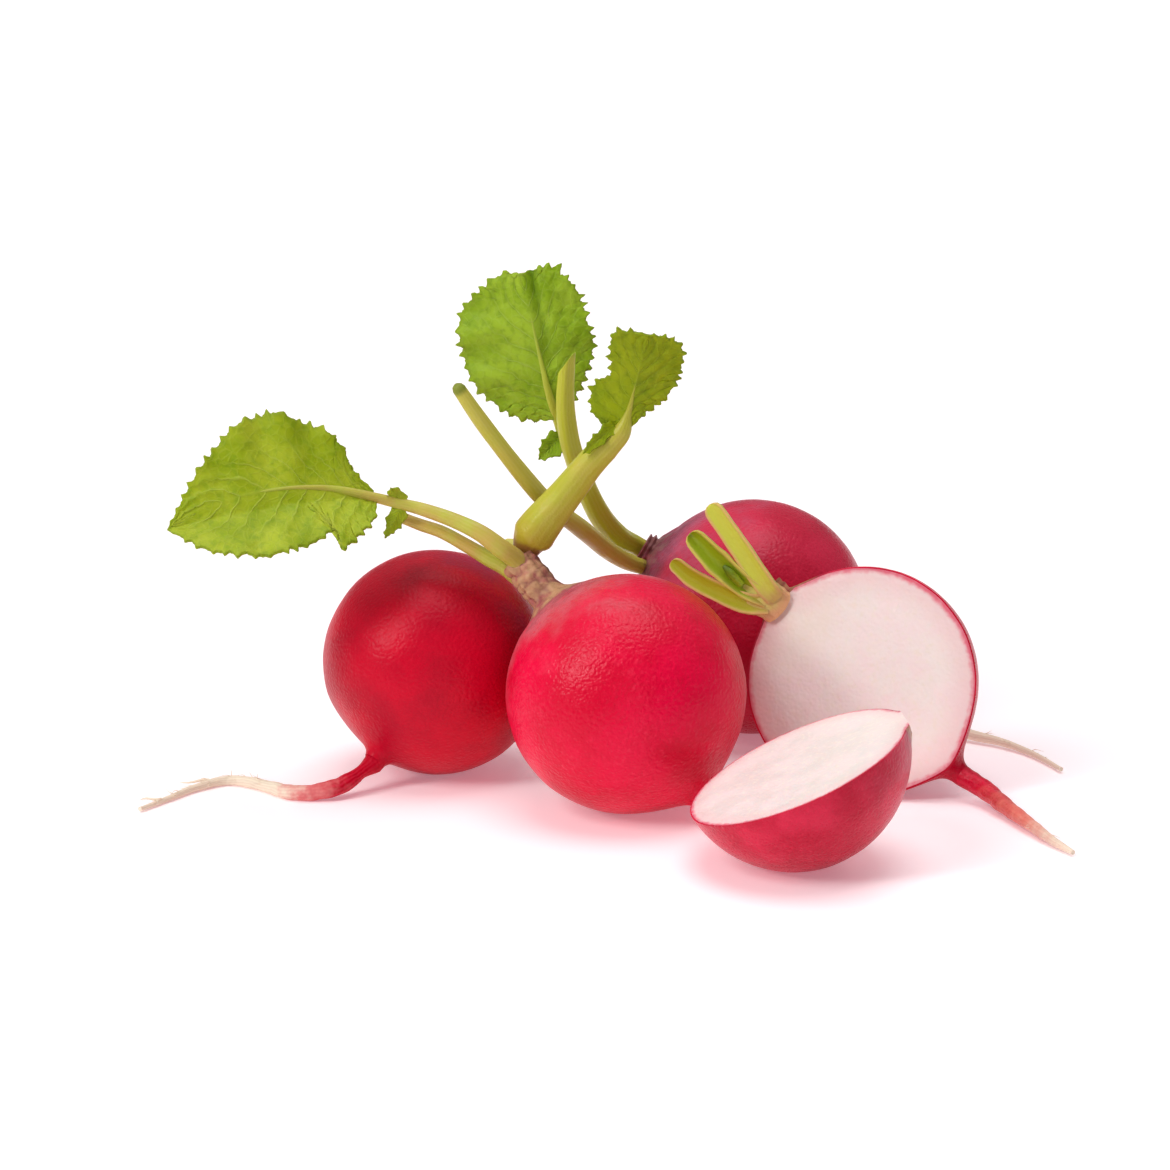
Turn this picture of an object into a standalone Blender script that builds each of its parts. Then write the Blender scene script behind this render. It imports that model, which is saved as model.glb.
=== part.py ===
"""A bunch of radishes lying on a table: three whole roots with their tails, one cut in half and a slice,
with the green tops that are left on them: three leaves on their stalks, and stalks cut short.

Sizes are in millimetres in the constants, turned to metres by MM. +Z is up, the table is z = 0, +Y runs
away from the viewer, and the origin is on the table under the middle of the bunch's box. Places are
measured from the foot of the front radish, and BOX_MIDDLE moves the whole bunch to the origin.
"""

import math

import bmesh
import bpy
from mathutils import Matrix, Vector
from mathutils.geometry import interpolate_bezier

MM = 0.001

# The middle of the bunch's box, seen from the foot of the front radish
BOX_MIDDLE = (-2.49, 7.25, 0.0)

# Clearance left between pieces that touch, and the depth of the flat spot each root rests on
GAP = 0.32
REST_DEPTH = 0.22

# Points of a mesh that are closer than this are one point
WELD = 0.001

# The swollen root, as a turned shape: angles are in degrees from its crown
SHOULDER_ANGLE = 20.0
FILLET_ANGLE = 146.0
BELLY_STEPS = 11
FILLET_STEPS = 5
FILLET_PULL = 0.36
NECK_PULL = (0.25, 2.4)
NECK_DROP = 2.6
NECK_RADIUS = 1.45
TAIL_TIP_RADIUS = 0.32
TAIL_TAPER = 0.8
TAIL_RING_SPACING = 2.4
SIDES = 24
LUMPINESS = 0.008

# The crown's widest and its foot, as shares of its own radius and length
KNOB_BULGE = 1.05
KNOB_FLARE = 1.25
KNOB_FLARE_HEIGHT = 0.08

# Steps between two given places of a line: a tail's route, a stalk and a leaf's outline
ROUTE_STEPS = 12
STALK_STEPS = 3
OUTLINE_STEPS = 6
STALK_SIDES_RESOLUTION = 2

# The leaf blades: the rib stops short of the tip, and the waves grow towards the edge
BLADE_THICKNESS = 0.66
BLADE_STEPS = 3
LEAFLET_RAYS = 6
RIB_SHARE = 0.95
RIB_PLACES = (0.15, 0.35, 0.55, 0.72)
RIB_RADII = (0.75, 0.6, 0.48, 0.12)
TOOTH_PEAK = 0.4
TEETH_START, TEETH_END = 0.125, 0.1
WAVE_PITCH = 6.5
WAVE_REACH = 10.0

SHARP_ANGLE = 40.0
SKIN_RED = (0.62, 0.012, 0.045)
FLESH_WHITE = (0.86, 0.80, 0.74)
STALK_GREEN = (0.46, 0.50, 0.09)
LEAF_GREEN = (0.25, 0.42, 0.03)


def mm(*values):
    """A place or a shift given in millimetres, as a vector in metres."""
    return Vector(values) * MM


def clear_scene():
    for obj in list(bpy.data.objects):
        bpy.data.objects.remove(obj, do_unlink=True)


def new_collection(name):
    collection = bpy.data.collections.new(name)
    bpy.context.scene.collection.children.link(collection)
    return collection


def new_material(name, colour, roughness):
    material = bpy.data.materials.new(name)
    material.use_nodes = True
    shader = material.node_tree.nodes["Principled BSDF"]
    shader.inputs["Base Color"].default_value = (*colour, 1.0)
    shader.inputs["Roughness"].default_value = roughness
    shader.inputs["Metallic"].default_value = 0.0
    return material


def new_object(name, mesh, collection):
    obj = bpy.data.objects.new(name, mesh)
    collection.objects.link(obj)
    return obj


def evaluated_mesh(obj):
    """The object's mesh with its modifiers, in world space, as a new mesh. Coincident points are welded."""
    bpy.context.view_layer.update()
    graph = bpy.context.evaluated_depsgraph_get()
    mesh = bpy.data.meshes.new_from_object(obj.evaluated_get(graph))
    mesh.transform(obj.matrix_world)
    bm = bmesh.new()
    bm.from_mesh(mesh)
    bmesh.ops.remove_doubles(bm, verts=bm.verts, dist=WELD * MM)
    bm.to_mesh(mesh)
    bm.free()
    return mesh


def made_mesh(obj, collection):
    """Replaces an object, such as a curve, by a mesh object of the same name."""
    name = obj.name
    mesh = evaluated_mesh(obj)
    bpy.data.objects.remove(obj, do_unlink=True)
    return new_object(name, mesh, collection)


def smooth_points(points, steps):
    """Points along a Catmull-Rom curve through the given ones, with this many steps between two of them."""
    first, last = 2 * points[0] - points[1], 2 * points[-1] - points[-2]
    padded = [first, *points, last]
    found = []
    for before, start, end, after in zip(padded, padded[1:], padded[2:], padded[3:]):
        for step in range(steps):
            t = step / steps
            found.append(
                0.5
                * (
                    2 * start
                    + (end - before) * t
                    + (2 * before - 5 * start + 4 * end - after) * t**2
                    + (3 * start - before - 3 * end + after) * t**3
                )
            )
    found.append(points[-1].copy())
    return found


class Route:
    """A smooth line through space that carries an upright frame along itself without twisting it."""

    def __init__(self, points, across):
        self.points = smooth_points(points, ROUTE_STEPS)
        self.places = [0.0]
        for a, b in zip(self.points, self.points[1:]):
            self.places.append(self.places[-1] + (b - a).length)
        self.across = [across.normalized()]
        for i in range(1, len(self.points)):
            turn = self.heading(i - 1).rotation_difference(self.heading(i))
            self.across.append((turn @ self.across[-1]).normalized())

    @property
    def length(self):
        return self.places[-1]

    def heading(self, i):
        a, b = self.points[max(i - 1, 0)], self.points[min(i + 1, len(self.points) - 1)]
        return (b - a).normalized()

    def frame(self, distance):
        """Place, first cross direction and heading at a distance along the line."""
        i = 0
        while i < len(self.places) - 2 and self.places[i + 1] < distance:
            i += 1
        share = (distance - self.places[i]) / (self.places[i + 1] - self.places[i])
        share = min(max(share, 0.0), 1.0)
        place = self.points[i].lerp(self.points[i + 1], share)
        across = self.across[i].lerp(self.across[i + 1], share).normalized()
        heading = self.heading(i).lerp(self.heading(i + 1), share).normalized()
        return place, across, heading


def crown_profile(radius, knob_radius, knob_length):
    """Outer side of the crown from its top down: a short stem ringed by the scars of fallen leaves."""
    shares = ((0.55, 1.0), (0.95, 0.93), (0.84, 0.70), (KNOB_BULGE, 0.55), (0.94, 0.30))
    shares = (*shares, (KNOB_FLARE, KNOB_FLARE_HEIGHT))
    return [(0.0, radius + knob_length)] + [
        (knob_radius * across, radius + knob_length * along) for across, along in shares
    ]


def belly_profile(radius):
    """The round belly, from its shoulder to where it starts to draw in to the tail."""
    angles = [
        math.radians(SHOULDER_ANGLE + (FILLET_ANGLE - SHOULDER_ANGLE) * i / BELLY_STEPS)
        for i in range(BELLY_STEPS + 1)
    ]
    return [(radius * math.sin(a), radius * math.cos(a)) for a in angles]


def fillet_profile(radius):
    """The hollow curve that draws the belly in to the neck of the tail."""
    angle = math.radians(FILLET_ANGLE)
    start = Vector((radius * math.sin(angle), radius * math.cos(angle)))
    along = Vector((math.cos(angle), -math.sin(angle)))
    end = Vector((NECK_RADIUS, -radius - NECK_DROP))
    points = interpolate_bezier(
        start, start + FILLET_PULL * radius * along, end + Vector(NECK_PULL), end, FILLET_STEPS + 1
    )
    return [(p[0], p[1]) for p in points[1:]]


def tail_profile(radius, length):
    """The tail laid out straight below the neck, tapering to its tip."""
    rings = max(3, round(length / TAIL_RING_SPACING))
    rows = []
    for i in range(1, rings + 1):
        share = i / rings
        wide = NECK_RADIUS * (1.0 - share) ** TAIL_TAPER + TAIL_TIP_RADIUS * share
        rows.append((wide, -radius - NECK_DROP - length * share))
    return rows + [(0.0, rows[-1][1] - TAIL_TIP_RADIUS)]


def turned(name, profile, collection):
    """A solid turned about Z from (radius, height) points, listed from the top down."""
    mesh = bpy.data.meshes.new(name)
    bm = bmesh.new()
    row = [bm.verts.new((r * MM, 0.0, z * MM)) for r, z in profile]
    for a, b in zip(row, row[1:]):
        bm.edges.new((a, b))
    bm.to_mesh(mesh)
    bm.free()
    obj = new_object(name, mesh, collection)
    screw = obj.modifiers.new("turn", "SCREW")
    screw.steps = screw.render_steps = SIDES
    screw.use_merge_vertices = True
    screw.merge_threshold = 0.00001
    return made_mesh(obj, collection)


def pointing(direction, centre):
    """The matrix that stands a turned shape's +Z along a direction, at a centre."""
    upright = direction.normalized()
    side = Vector((0.0, 1.0, 0.0)).cross(upright).normalized()
    other = upright.cross(side)
    turn = Matrix((side, other, upright)).transposed().to_4x4()
    return Matrix.Translation(centre) @ turn


def lumpy(point, radius):
    """A slight unevenness of the root, the same on every fineness of mesh."""
    around = math.atan2(point.y, point.x)
    away = point.xy.length / (radius * MM)
    wave = math.sin(2 * around + 0.7) + 0.6 * math.sin(3 * around + 2.1)
    share = 1.0 + LUMPINESS * wave * min(away, 1.0)
    return Vector((point.x * share, point.y * share, point.z))


def root(name, centre, radius, crown, collection, knob, tail_route=None, cuts=()):
    """A swollen root in one piece: crown, belly and tail, with its tail along the route.

    Each cut is a plane, as a point and the direction of what falls away. The cuts are made while the
    tail is still straight, so a knife stroke down the belly may leave the tail whole.
    """
    profile = crown_profile(radius, *knob) + belly_profile(radius) + fillet_profile(radius)
    stand = pointing(Vector(crown), mm(*centre))
    neck = -(radius + NECK_DROP) * MM
    route = None
    if tail_route:
        start = stand @ Vector((0.0, 0.0, neck))
        points = [start, *[mm(*p) for p in tail_route]]
        route = Route(points, stand.to_3x3() @ Vector((1.0, 0.0, 0.0)))
        profile += tail_profile(radius, route.length / MM)
    else:
        profile.append((0.0, profile[-1][1] - 0.5 * NECK_RADIUS))
    obj = turned(name, profile, collection)
    for point, direction in cuts:
        sliced(obj, stand.inverted() @ point, stand.inverted().to_3x3() @ direction)
    for vertex in obj.data.vertices:
        point = lumpy(vertex.co, radius)
        if route and point.z < neck:
            place, across, heading = route.frame(neck - point.z)
            vertex.co = place + across * point.x + across.cross(-heading) * -point.y
        else:
            vertex.co = stand @ point
    return obj


def sliced(obj, point, falls_away):
    """Cuts the object with a plane, drops what lies in front of it and closes the cut."""
    bm = bmesh.new()
    bm.from_mesh(obj.data)
    geometry = [*bm.verts, *bm.edges, *bm.faces]
    bmesh.ops.bisect_plane(
        bm, geom=geometry, dist=WELD * MM, plane_co=point, plane_no=falls_away, clear_outer=True
    )
    edges = [e for e in bm.edges if e.is_boundary]
    bmesh.ops.holes_fill(bm, edges=edges, sides=0)
    bmesh.ops.recalc_face_normals(bm, faces=bm.faces)
    bm.to_mesh(obj.data)
    bm.free()
    return obj


def rest_on_table(obj):
    """Takes off what lies under the table, which leaves the small flat spot that the root rests on."""
    return sliced(obj, Vector((0.0, 0.0, 0.0)), Vector((0.0, 0.0, -1.0)))


def stalk(name, places, radii, collection):
    """A round stalk along a smooth line, with its own radius at each of the places."""
    points = smooth_points([mm(*p) for p in places], STALK_STEPS)
    curve = bpy.data.curves.new(name, "CURVE")
    curve.dimensions = "3D"
    curve.bevel_depth = MM
    curve.bevel_resolution = STALK_SIDES_RESOLUTION
    curve.use_fill_caps = True
    spline = curve.splines.new("POLY")
    spline.points.add(len(points) - 1)
    for i, point in enumerate(points):
        whole, share = divmod(i, STALK_STEPS)
        after = radii[min(whole + 1, len(radii) - 1)]
        spline.points[i].co = (*point, 1.0)
        spline.points[i].radius = radii[whole] + (after - radii[whole]) * share / STALK_STEPS
    return made_mesh(new_object(name, curve, collection), collection)


def apply_boolean(obj, operation, other, solver="EXACT"):
    """Applies one Boolean with another object or with all objects of a collection."""
    modifier = obj.modifiers.new("join", "BOOLEAN")
    modifier.operation = operation
    modifier.solver = solver
    if isinstance(other, bpy.types.Collection):
        modifier.operand_type = "COLLECTION"
        modifier.collection = other
    else:
        modifier.object = other
    mesh = evaluated_mesh(obj)
    obj.modifiers.clear()
    obj.data = mesh
    return obj


def fused(obj, pieces, collection):
    """Joins the pieces to the object by one Boolean union, and removes them."""
    grown = new_collection(obj.name + "_pieces")
    for piece in pieces:
        collection.objects.unlink(piece)
        grown.objects.link(piece)
    apply_boolean(obj, "UNION", grown, solver="MANIFOLD")
    for piece in pieces:
        bpy.data.objects.remove(piece, do_unlink=True)
    bpy.data.collections.remove(grown)
    return obj


class Blade:
    """A leaf blade: a flat outline either side of its rib, then folded, arched and waved.

    Outline points are (along the rib, away from it) in millimetres, from the base to the tip.
    """

    def __init__(self, base, tip, across, left, right, teeth, tooth=0.9, fold=0.25, arch=1.5, wave=0.45):
        self.base = mm(*base)
        along = mm(*tip) - self.base
        self.length = along.length / MM
        self.along = along.normalized()
        sideways = Vector(across)
        self.across = (sideways - self.along * sideways.dot(self.along)).normalized()
        self.normal = self.along.cross(self.across)
        self.sides = [self.even(left), self.even(right)]
        self.teeth, self.tooth = teeth, tooth
        self.fold, self.arch, self.wave = fold, arch, wave

    @staticmethod
    def even(outline):
        """The outline as a smooth line that can be read at any share of its length."""
        points = smooth_points([Vector((a, b, 0.0)) for a, b in outline], OUTLINE_STEPS)
        places = [0.0]
        for a, b in zip(points, points[1:]):
            places.append(places[-1] + (b - a).length)
        return points, places

    def edge(self, side, share):
        """The outline's point at a share of its length, pushed out by the teeth."""
        points, places = self.sides[side]
        distance = share * places[-1]
        i = 0
        while i < len(places) - 2 and places[i + 1] < distance:
            i += 1
        part = (distance - places[i]) / (places[i + 1] - places[i])
        point = points[i].lerp(points[i + 1], part)
        run = (points[i + 1] - points[i]).normalized()
        out = Vector((-run.y, run.x, 0.0)) * (1 if side == 0 else -1)
        phase = (share * self.teeth) % 1.0
        bump = min(phase / TOOTH_PEAK, (1.0 - phase) / (1.0 - TOOTH_PEAK))
        fade = min(1.0, share / TEETH_START) * min(1.0, (1.0 - share) / TEETH_END)
        return point + out * self.tooth * (bump - TOOTH_PEAK) * fade

    def lift(self, along, away):
        """How far the blade stands off its flat plane, at a point of the outline's plane."""
        share = along / self.length
        edgeward = abs(away) / WAVE_REACH
        ripple = math.sin(2 * math.pi * along / WAVE_PITCH + (0.8 if away > 0 else 2.9))
        return (
            -self.fold * abs(away)
            - self.arch * 4 * share * (1 - share)
            + self.wave * ripple * edgeward**1.5
        )

    def point(self, along, away):
        return (
            self.base
            + (self.along * along + self.across * away + self.normal * self.lift(along, away)) * MM
        )

    def rib(self, share):
        return self.point(self.length * share, 0.0)

    def sheet(self, name, collection, rays):
        """The blade as a closed sheet: a grid fanned out from the rib to the toothed edge."""
        mesh = bpy.data.meshes.new(name)
        bm = bmesh.new()
        bmesh.ops.create_grid(bm, x_segments=rays, y_segments=2 * BLADE_STEPS, size=1.0)
        for vertex in bm.verts:
            share, out = (vertex.co.x + 1.0) / 2.0, vertex.co.y
            edge = self.edge(0 if out > 0 else 1, share)
            rib = Vector((RIB_SHARE * self.length * share, 0.0, 0.0))
            flat = rib.lerp(edge, abs(out))
            vertex.co = self.point(flat.x, flat.y)
        bmesh.ops.remove_doubles(bm, verts=bm.verts, dist=10 * WELD * MM)
        bmesh.ops.triangulate(bm, faces=bm.faces)
        bmesh.ops.recalc_face_normals(bm, faces=bm.faces)
        bm.to_mesh(mesh)
        bm.free()
        obj = new_object(name, mesh, collection)
        solidify = obj.modifiers.new("thickness", "SOLIDIFY")
        solidify.thickness = BLADE_THICKNESS * MM
        solidify.offset = 0.0
        return made_mesh(obj, collection)


def leaf(name, blade, petiole, radii, rays, collection, leaflets=(), rib_radii=RIB_RADII):
    """A leaf in one piece: its stalk runs on into the blade as the rib, thinning to nothing in it."""
    rib = [tuple(blade.rib(share) / MM) for share in RIB_PLACES]
    stem = stalk(name, [*petiole, *rib], [*radii, *rib_radii], collection)
    sheets = [blade.sheet(name + "_blade", collection, rays)]
    sheets += [piece.sheet(f"{name}_leaflet_{i}", collection, LEAFLET_RAYS) for i, piece in enumerate(leaflets)]
    return fused(stem, sheets, collection)


def away_from(obj, radius, centre, crown, knob, collection):
    """Cuts a stalk back from the crown that it grows on, leaving the clearance between them."""
    wide, top = KNOB_BULGE * knob[0] + GAP, radius + knob[1] + GAP
    foot = (KNOB_FLARE * knob[0] + GAP, radius + GAP + KNOB_FLARE_HEIGHT * knob[1])
    profile = [(0.0, top), (wide, top), (wide, foot[1] + GAP), foot] + belly_profile(radius + GAP)
    profile.append((0.0, profile[-1][1]))
    cutter = turned("cutter", profile, collection)
    cutter.data.transform(pointing(Vector(crown), mm(*centre)))
    apply_boolean(obj, "DIFFERENCE", cutter)
    bpy.data.objects.remove(cutter, do_unlink=True)
    return largest_body(obj)


def largest_body(obj):
    """Drops the crumbs that a cut leaves on the far side of a crown."""
    bm = bmesh.new()
    bm.from_mesh(obj.data)
    left, bodies = set(bm.verts), []
    while left:
        body, front = set(), [left.pop()]
        while front:
            vertex = front.pop()
            body.add(vertex)
            near = {edge.other_vert(vertex) for edge in vertex.link_edges} & left
            left -= near
            front.extend(near)
        bodies.append(body)
    main = max(bodies, key=len)
    bmesh.ops.delete(bm, geom=[v for v in bm.verts if v not in main], context="VERTS")
    bm.to_mesh(obj.data)
    bm.free()
    return obj


# The roots: centre, radius, and the direction from the middle to the crown
FRONT_RADIUS = 16.1
FRONT_CENTRE = (0.0, 0.0, FRONT_RADIUS - REST_DEPTH)
FRONT_CROWN = (-0.586, 0.397, 0.707)
FRONT_KNOB = (2.45, 7.1)
FRONT_TAIL = ((13.0, -7.6, 2.0), (17.5, -7.9, 1.0), (22.0, -6.6, 0.8), (27.0, -4.0, 0.6))

LEFT_RADIUS = 15.5
LEFT_CENTRE = (-26.2, 17.6, LEFT_RADIUS - REST_DEPTH)
LEFT_CROWN = (0.56, 0.506, 0.651)
LEFT_KNOB = (2.4, 2.2)
LEFT_TAIL = (
    (-38.2, 4.2, 2.0),
    (-41.6, 2.8, 1.35),
    (-45.8, 3.6, 1.1),
    (-50.2, 7.6, 1.0),
    (-54.4, 9.6, 0.9),
    (-58.4, 7.0, 0.75),
    (-62.0, 2.2, 0.6),
    (-65.4, -2.6, 0.5),
)

BACK_RADIUS = 16.6
BACK_CENTRE = (18.3, 37.2, BACK_RADIUS - REST_DEPTH)
BACK_CROWN = (-0.86, 0.132, 0.493)
BACK_KNOB = (2.9, 1.9)
BACK_TAIL = ((39.4, 34.2, 3.9), (43.6, 32.8, 2.1), (48.2, 30.4, 1.4), (53.0, 27.2, 1.15), (56.4, 23.4, 0.9),
             (58.6, 19.4, 0.75), (60.4, 15.0, 0.6))

# The half: its cut face looks at the viewer and a little left and up
HALF_RADIUS = 15.7
HALF_FACE = Vector((-0.208, -0.945, 0.253)).normalized()
HALF_FACE_CENTRE = (32.0, 6.9, HALF_RADIUS - REST_DEPTH)
HALF_AXIS_ANGLE = 139.6
HALF_TILT = 4.5
HALF_DEPTH = 1.25
HALF_KNOB = (2.6, 2.4)
HALF_TAIL = ((48.6, 0.4, 2.2), (51.4, -6.0, 1.5), (53.8, -12.0, 1.2), (56.0, -17.2, 0.85), (58.2, -21.4, 0.6))

# The slice: a bit less than half of a root, trimmed at both ends
SLICE_RADIUS = 15.4
SLICE_CENTRE = (21.2, -24.3, SLICE_RADIUS - REST_DEPTH)
SLICE_FACE = Vector((-0.403, -0.022, 0.915)).normalized()
SLICE_DEPTH = 2.1
SLICE_AXIS = Vector((0.909, 0.108, 0.403)).normalized()
SLICE_TRIM = 0.4
SLICE_KNOB = (2.6, 1.5)


def half_axis():
    """The half's direction from tail to crown, tipped so that the knife leaves the tail whole."""
    up = Vector((0.0, 0.0, 1.0))
    up = (up - HALF_FACE * up.dot(HALF_FACE)).normalized()
    right = up.cross(HALF_FACE).normalized()
    angle = math.radians(HALF_AXIS_ANGLE)
    level = right * math.cos(angle) + up * math.sin(angle)
    tilt = math.radians(HALF_TILT)
    return level * math.cos(tilt) + HALF_FACE * math.sin(tilt)


def half_centre():
    """Middle of the root that the half was cut from, a little behind the cut face."""
    return tuple(Vector(HALF_FACE_CENTRE) - HALF_FACE * HALF_DEPTH)


def whole_roots(collection):
    roots = [
        root("front_radish", FRONT_CENTRE, FRONT_RADIUS, FRONT_CROWN, collection, FRONT_KNOB, FRONT_TAIL),
        root("left_radish", LEFT_CENTRE, LEFT_RADIUS, LEFT_CROWN, collection, LEFT_KNOB, LEFT_TAIL),
        root("back_radish", BACK_CENTRE, BACK_RADIUS, BACK_CROWN, collection, BACK_KNOB, BACK_TAIL),
    ]
    return [rest_on_table(obj) for obj in roots]


def half_root(collection):
    knife = (mm(*HALF_FACE_CENTRE), HALF_FACE)
    shape = (half_centre(), HALF_RADIUS, half_axis(), collection, HALF_KNOB, HALF_TAIL)
    return rest_on_table(root("half_radish", *shape, cuts=[knife]))


def slice_root(collection):
    centre = mm(*SLICE_CENTRE)
    reach = (SLICE_RADIUS - SLICE_TRIM) * MM
    cuts = [
        (centre - SLICE_FACE * SLICE_DEPTH * MM, SLICE_FACE),
        (centre + SLICE_AXIS * reach, SLICE_AXIS),
        (centre - SLICE_AXIS * reach, -SLICE_AXIS),
    ]
    shape = (SLICE_CENTRE, SLICE_RADIUS, SLICE_AXIS, collection, SLICE_KNOB)
    return rest_on_table(root("slice_radish", *shape, cuts=cuts))


# Leaves and stalks on the front radish
LEFT_BLADE = Blade(
    base=(-33.9, 10.0, 40.6),
    tip=(-61.1, 0.0, 38.6),
    across=(-0.28, 0.63, 0.73),
    left=((0, 1), (2.2, 3.8), (3.2, 7), (5.6, 10), (9.6, 11.6), (13, 12.8), (17.8, 11.2), (21, 8.8),
          (24.4, 5.6), (29, 0)),
    right=((0, -1), (1.4, -4), (4.4, -6.6), (8.2, -8.6), (7.6, -4.8), (10, -5.4), (13, -7.4), (18, -7.8),
           (24.5, -5.2), (29, 0)),
    teeth=13,
)
LEFT_LEAFLETS = (
    Blade(
        base=(-30.0, 9.8, 39.6),
        tip=(-31.7, 8.6, 42.2),
        across=(-0.75, 0.1, -0.6),
        left=((0, 0.5), (1, 1.1), (2.2, 0.9), (3.3, 0)),
        right=((0, -0.5), (1, -1), (2.2, -0.7), (3.3, 0)),
        teeth=2,
        tooth=0.3,
        arch=0.3,
    ),
    Blade(
        base=(-30.2, 9.7, 39.4),
        tip=(-32.5, 7.6, 35.4),
        across=(0.85, -0.1, -0.5),
        left=((0, 0.6), (1.4, 1.2), (3, 0.9), (5, 0)),
        right=((0, -0.6), (1.4, -1.1), (3, -0.8), (5, 0)),
        teeth=3,
        tooth=0.35,
        arch=0.4,
    ),
)
LEFT_PETIOLE = (
    (-14.0, 8.3, 31.4),
    (-14.9, 7.2, 33.0),
    (-16.9, 6.6, 34.6),
    (-19.6, 7.2, 36.4),
    (-23.0, 8.4, 37.8),
    (-26.4, 9.4, 38.8),
    (-29.8, 10.0, 39.6),
)
UPRIGHT_BLADE = Blade(
    base=(-9.5, 30.5, 46.8),
    tip=(-14.4, 32.5, 67.9),
    across=(-0.96, 0.13, -0.23),
    left=((0, 0.5), (1, 5), (4.5, 9), (9, 10.9), (14, 10.9), (17.3, 9.8), (19.6, 6.5), (21.2, 3), (20.7, 0)),
    right=((0, -0.5), (2.5, -3.3), (5.5, -5.7), (9, -7.4), (12.5, -7.4), (16.5, -7), (19.2, -5.6),
           (20.9, -4), (20.7, 0)),
    teeth=12,
    fold=0.22,
    arch=-1.2,
)
UPRIGHT_LEAFLETS = (
    Blade(
        base=(-8.7, 31.4, 44.2),
        tip=(-12.0, 30.0, 41.0),
        across=(-0.7, 0.1, 0.7),
        left=((0, 0.9), (1.4, 1.5), (3.2, 1.2), (4.8, 0)),
        right=((0, -1.2), (1.2, -1.7), (3, -1.3), (4.8, 0)),
        teeth=3,
        tooth=0.4,
        arch=0.4,
    ),
)
UPRIGHT_PETIOLE = (
    (3.8, 41.8, 23.2),
    (0.4, 43.2, 25.2),
    (-2.6, 40.4, 29.4),
    (-5.2, 36.4, 34.4),
    (-7.4, 33.0, 40.3),
)
RIGHT_BLADE = Blade(
    base=(-0.2, 7.0, 50.9),
    tip=(2.8, 4.4, 64.0),
    across=(-0.97, 0.07, 0.25),
    left=((0, 1), (0.2, 4.3), (3, 5.6), (5, 4.9), (6.2, 3.6), (9.5, 4.4), (12.5, 4.4), (13.6, 2), (13.8, 0)),
    right=((0.5, -1), (3, -2.6), (5.5, -4.6), (8.5, -5.3), (12, -5.1), (13.5, -4), (14, -2), (13.8, 0)),
    teeth=8,
    fold=0.2,
    arch=1.2,
)
RIGHT_LEAFLETS = (
    Blade(
        base=(-1.6, 6.9, 51.2),
        tip=(-5.8, 5.8, 47.6),
        across=(-0.7, 0.1, 0.7),
        left=((0, 0.9), (2, 0.9), (4, 0.7), (5.7, 0)),
        right=((0, -0.7), (2, -0.7), (4, -0.6), (5.7, 0)),
        teeth=3,
        tooth=0.35,
        arch=0.5,
    ),
)
RIGHT_PETIOLE = (
    (-12.6, 10.2, 31.6),
    (-12.6, 10.8, 33.4),
    (-12.5, 10.6, 34.9),
    (-11.3, 10.0, 37.1),
    (-8.1, 9.0, 41.2),
    (-5.3, 8.2, 45.1),
    (-2.8, 7.6, 48.0),
    (-0.6, 7.2, 50.3),
)


def front_tops(collection):
    """The two leaves and the cut stalk that grow on the front radish."""
    left_leaf = leaf(
        "left_leaf", LEFT_BLADE, LEFT_PETIOLE, (1.1, 1.25, 1.32, 1.25, 1.15, 1.05, 1.0), 39, collection,
        LEFT_LEAFLETS,
    )
    right_leaf = leaf(
        "right_leaf", RIGHT_BLADE, RIGHT_PETIOLE, (1.3, 2.0, 2.5, 2.5, 2.2, 2.0, 1.95, 1.8), 24, collection,
        RIGHT_LEAFLETS, rib_radii=(1.4, 0.9, 0.55, 0.12),
    )
    lower_stalk = stalk(
        "lower_stalk",
        ((-12.6, 9.4, 29.8), (-14.6, 9.8, 30.0), (-16.4, 9.8, 31.1), (-18.7, 9.7, 32.3),
         (-21.8, 10.0, 34.1), (-25.1, 10.8, 35.7), (-27.9, 11.4, 36.5), (-30.3, 12.0, 37.3)),
        (1.0, 1.1, 1.1, 1.05, 0.98, 0.92, 0.88, 0.82),
        collection,
    )
    crown = (FRONT_RADIUS, FRONT_CENTRE, FRONT_CROWN, FRONT_KNOB, collection)
    return [away_from(obj, *crown) for obj in (left_leaf, right_leaf, lower_stalk)]


def back_tops(collection):
    """The leaf and the two cut stalks that grow on the back radish."""
    upright_leaf = leaf(
        "upright_leaf", UPRIGHT_BLADE, UPRIGHT_PETIOLE, (1.0, 1.05, 1.05, 1.0, 0.9), 36, collection,
        UPRIGHT_LEAFLETS,
    )
    long_stalk = stalk(
        "long_stalk",
        ((4.4, 38.6, 23.2), (2.4, 37.0, 24.0), (0.1, 33.5, 25.7), (-2.7, 28.5, 28.8), (-6.2, 22.0, 33.4),
         (-8.9, 18.5, 36.4), (-11.4, 16.0, 39.2), (-15.4, 13.0, 44.9), (-19.5, 10.6, 51.1),
         (-22.4, 9.2, 55.8)),
        (1.1, 1.25, 1.3, 1.35, 1.35, 1.3, 1.25, 1.2, 1.12, 0.95),
        collection,
    )
    split_stalk = stalk(
        "split_stalk",
        ((4.2, 40.0, 24.8), (1.6, 39.4, 26.4), (-1.0, 35.6, 28.7), (-3.4, 31.4, 32.7), (-5.2, 28.8, 37.0),
         (-7.0, 27.6, 42.0), (-7.9, 27.2, 46.0), (-8.2, 27.0, 51.0), (-7.8, 27.0, 57.0)),
        (1.25, 1.4, 1.65, 1.6, 1.5, 1.42, 1.38, 1.25, 1.0),
        collection,
    )
    sliced(split_stalk, mm(-7.4, 27.0, 56.4), Vector((-0.80, 0.1, 0.60)))
    crown = (BACK_RADIUS, BACK_CENTRE, BACK_CROWN, BACK_KNOB, collection)
    return [away_from(obj, *crown) for obj in (upright_leaf, long_stalk, split_stalk)]


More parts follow.
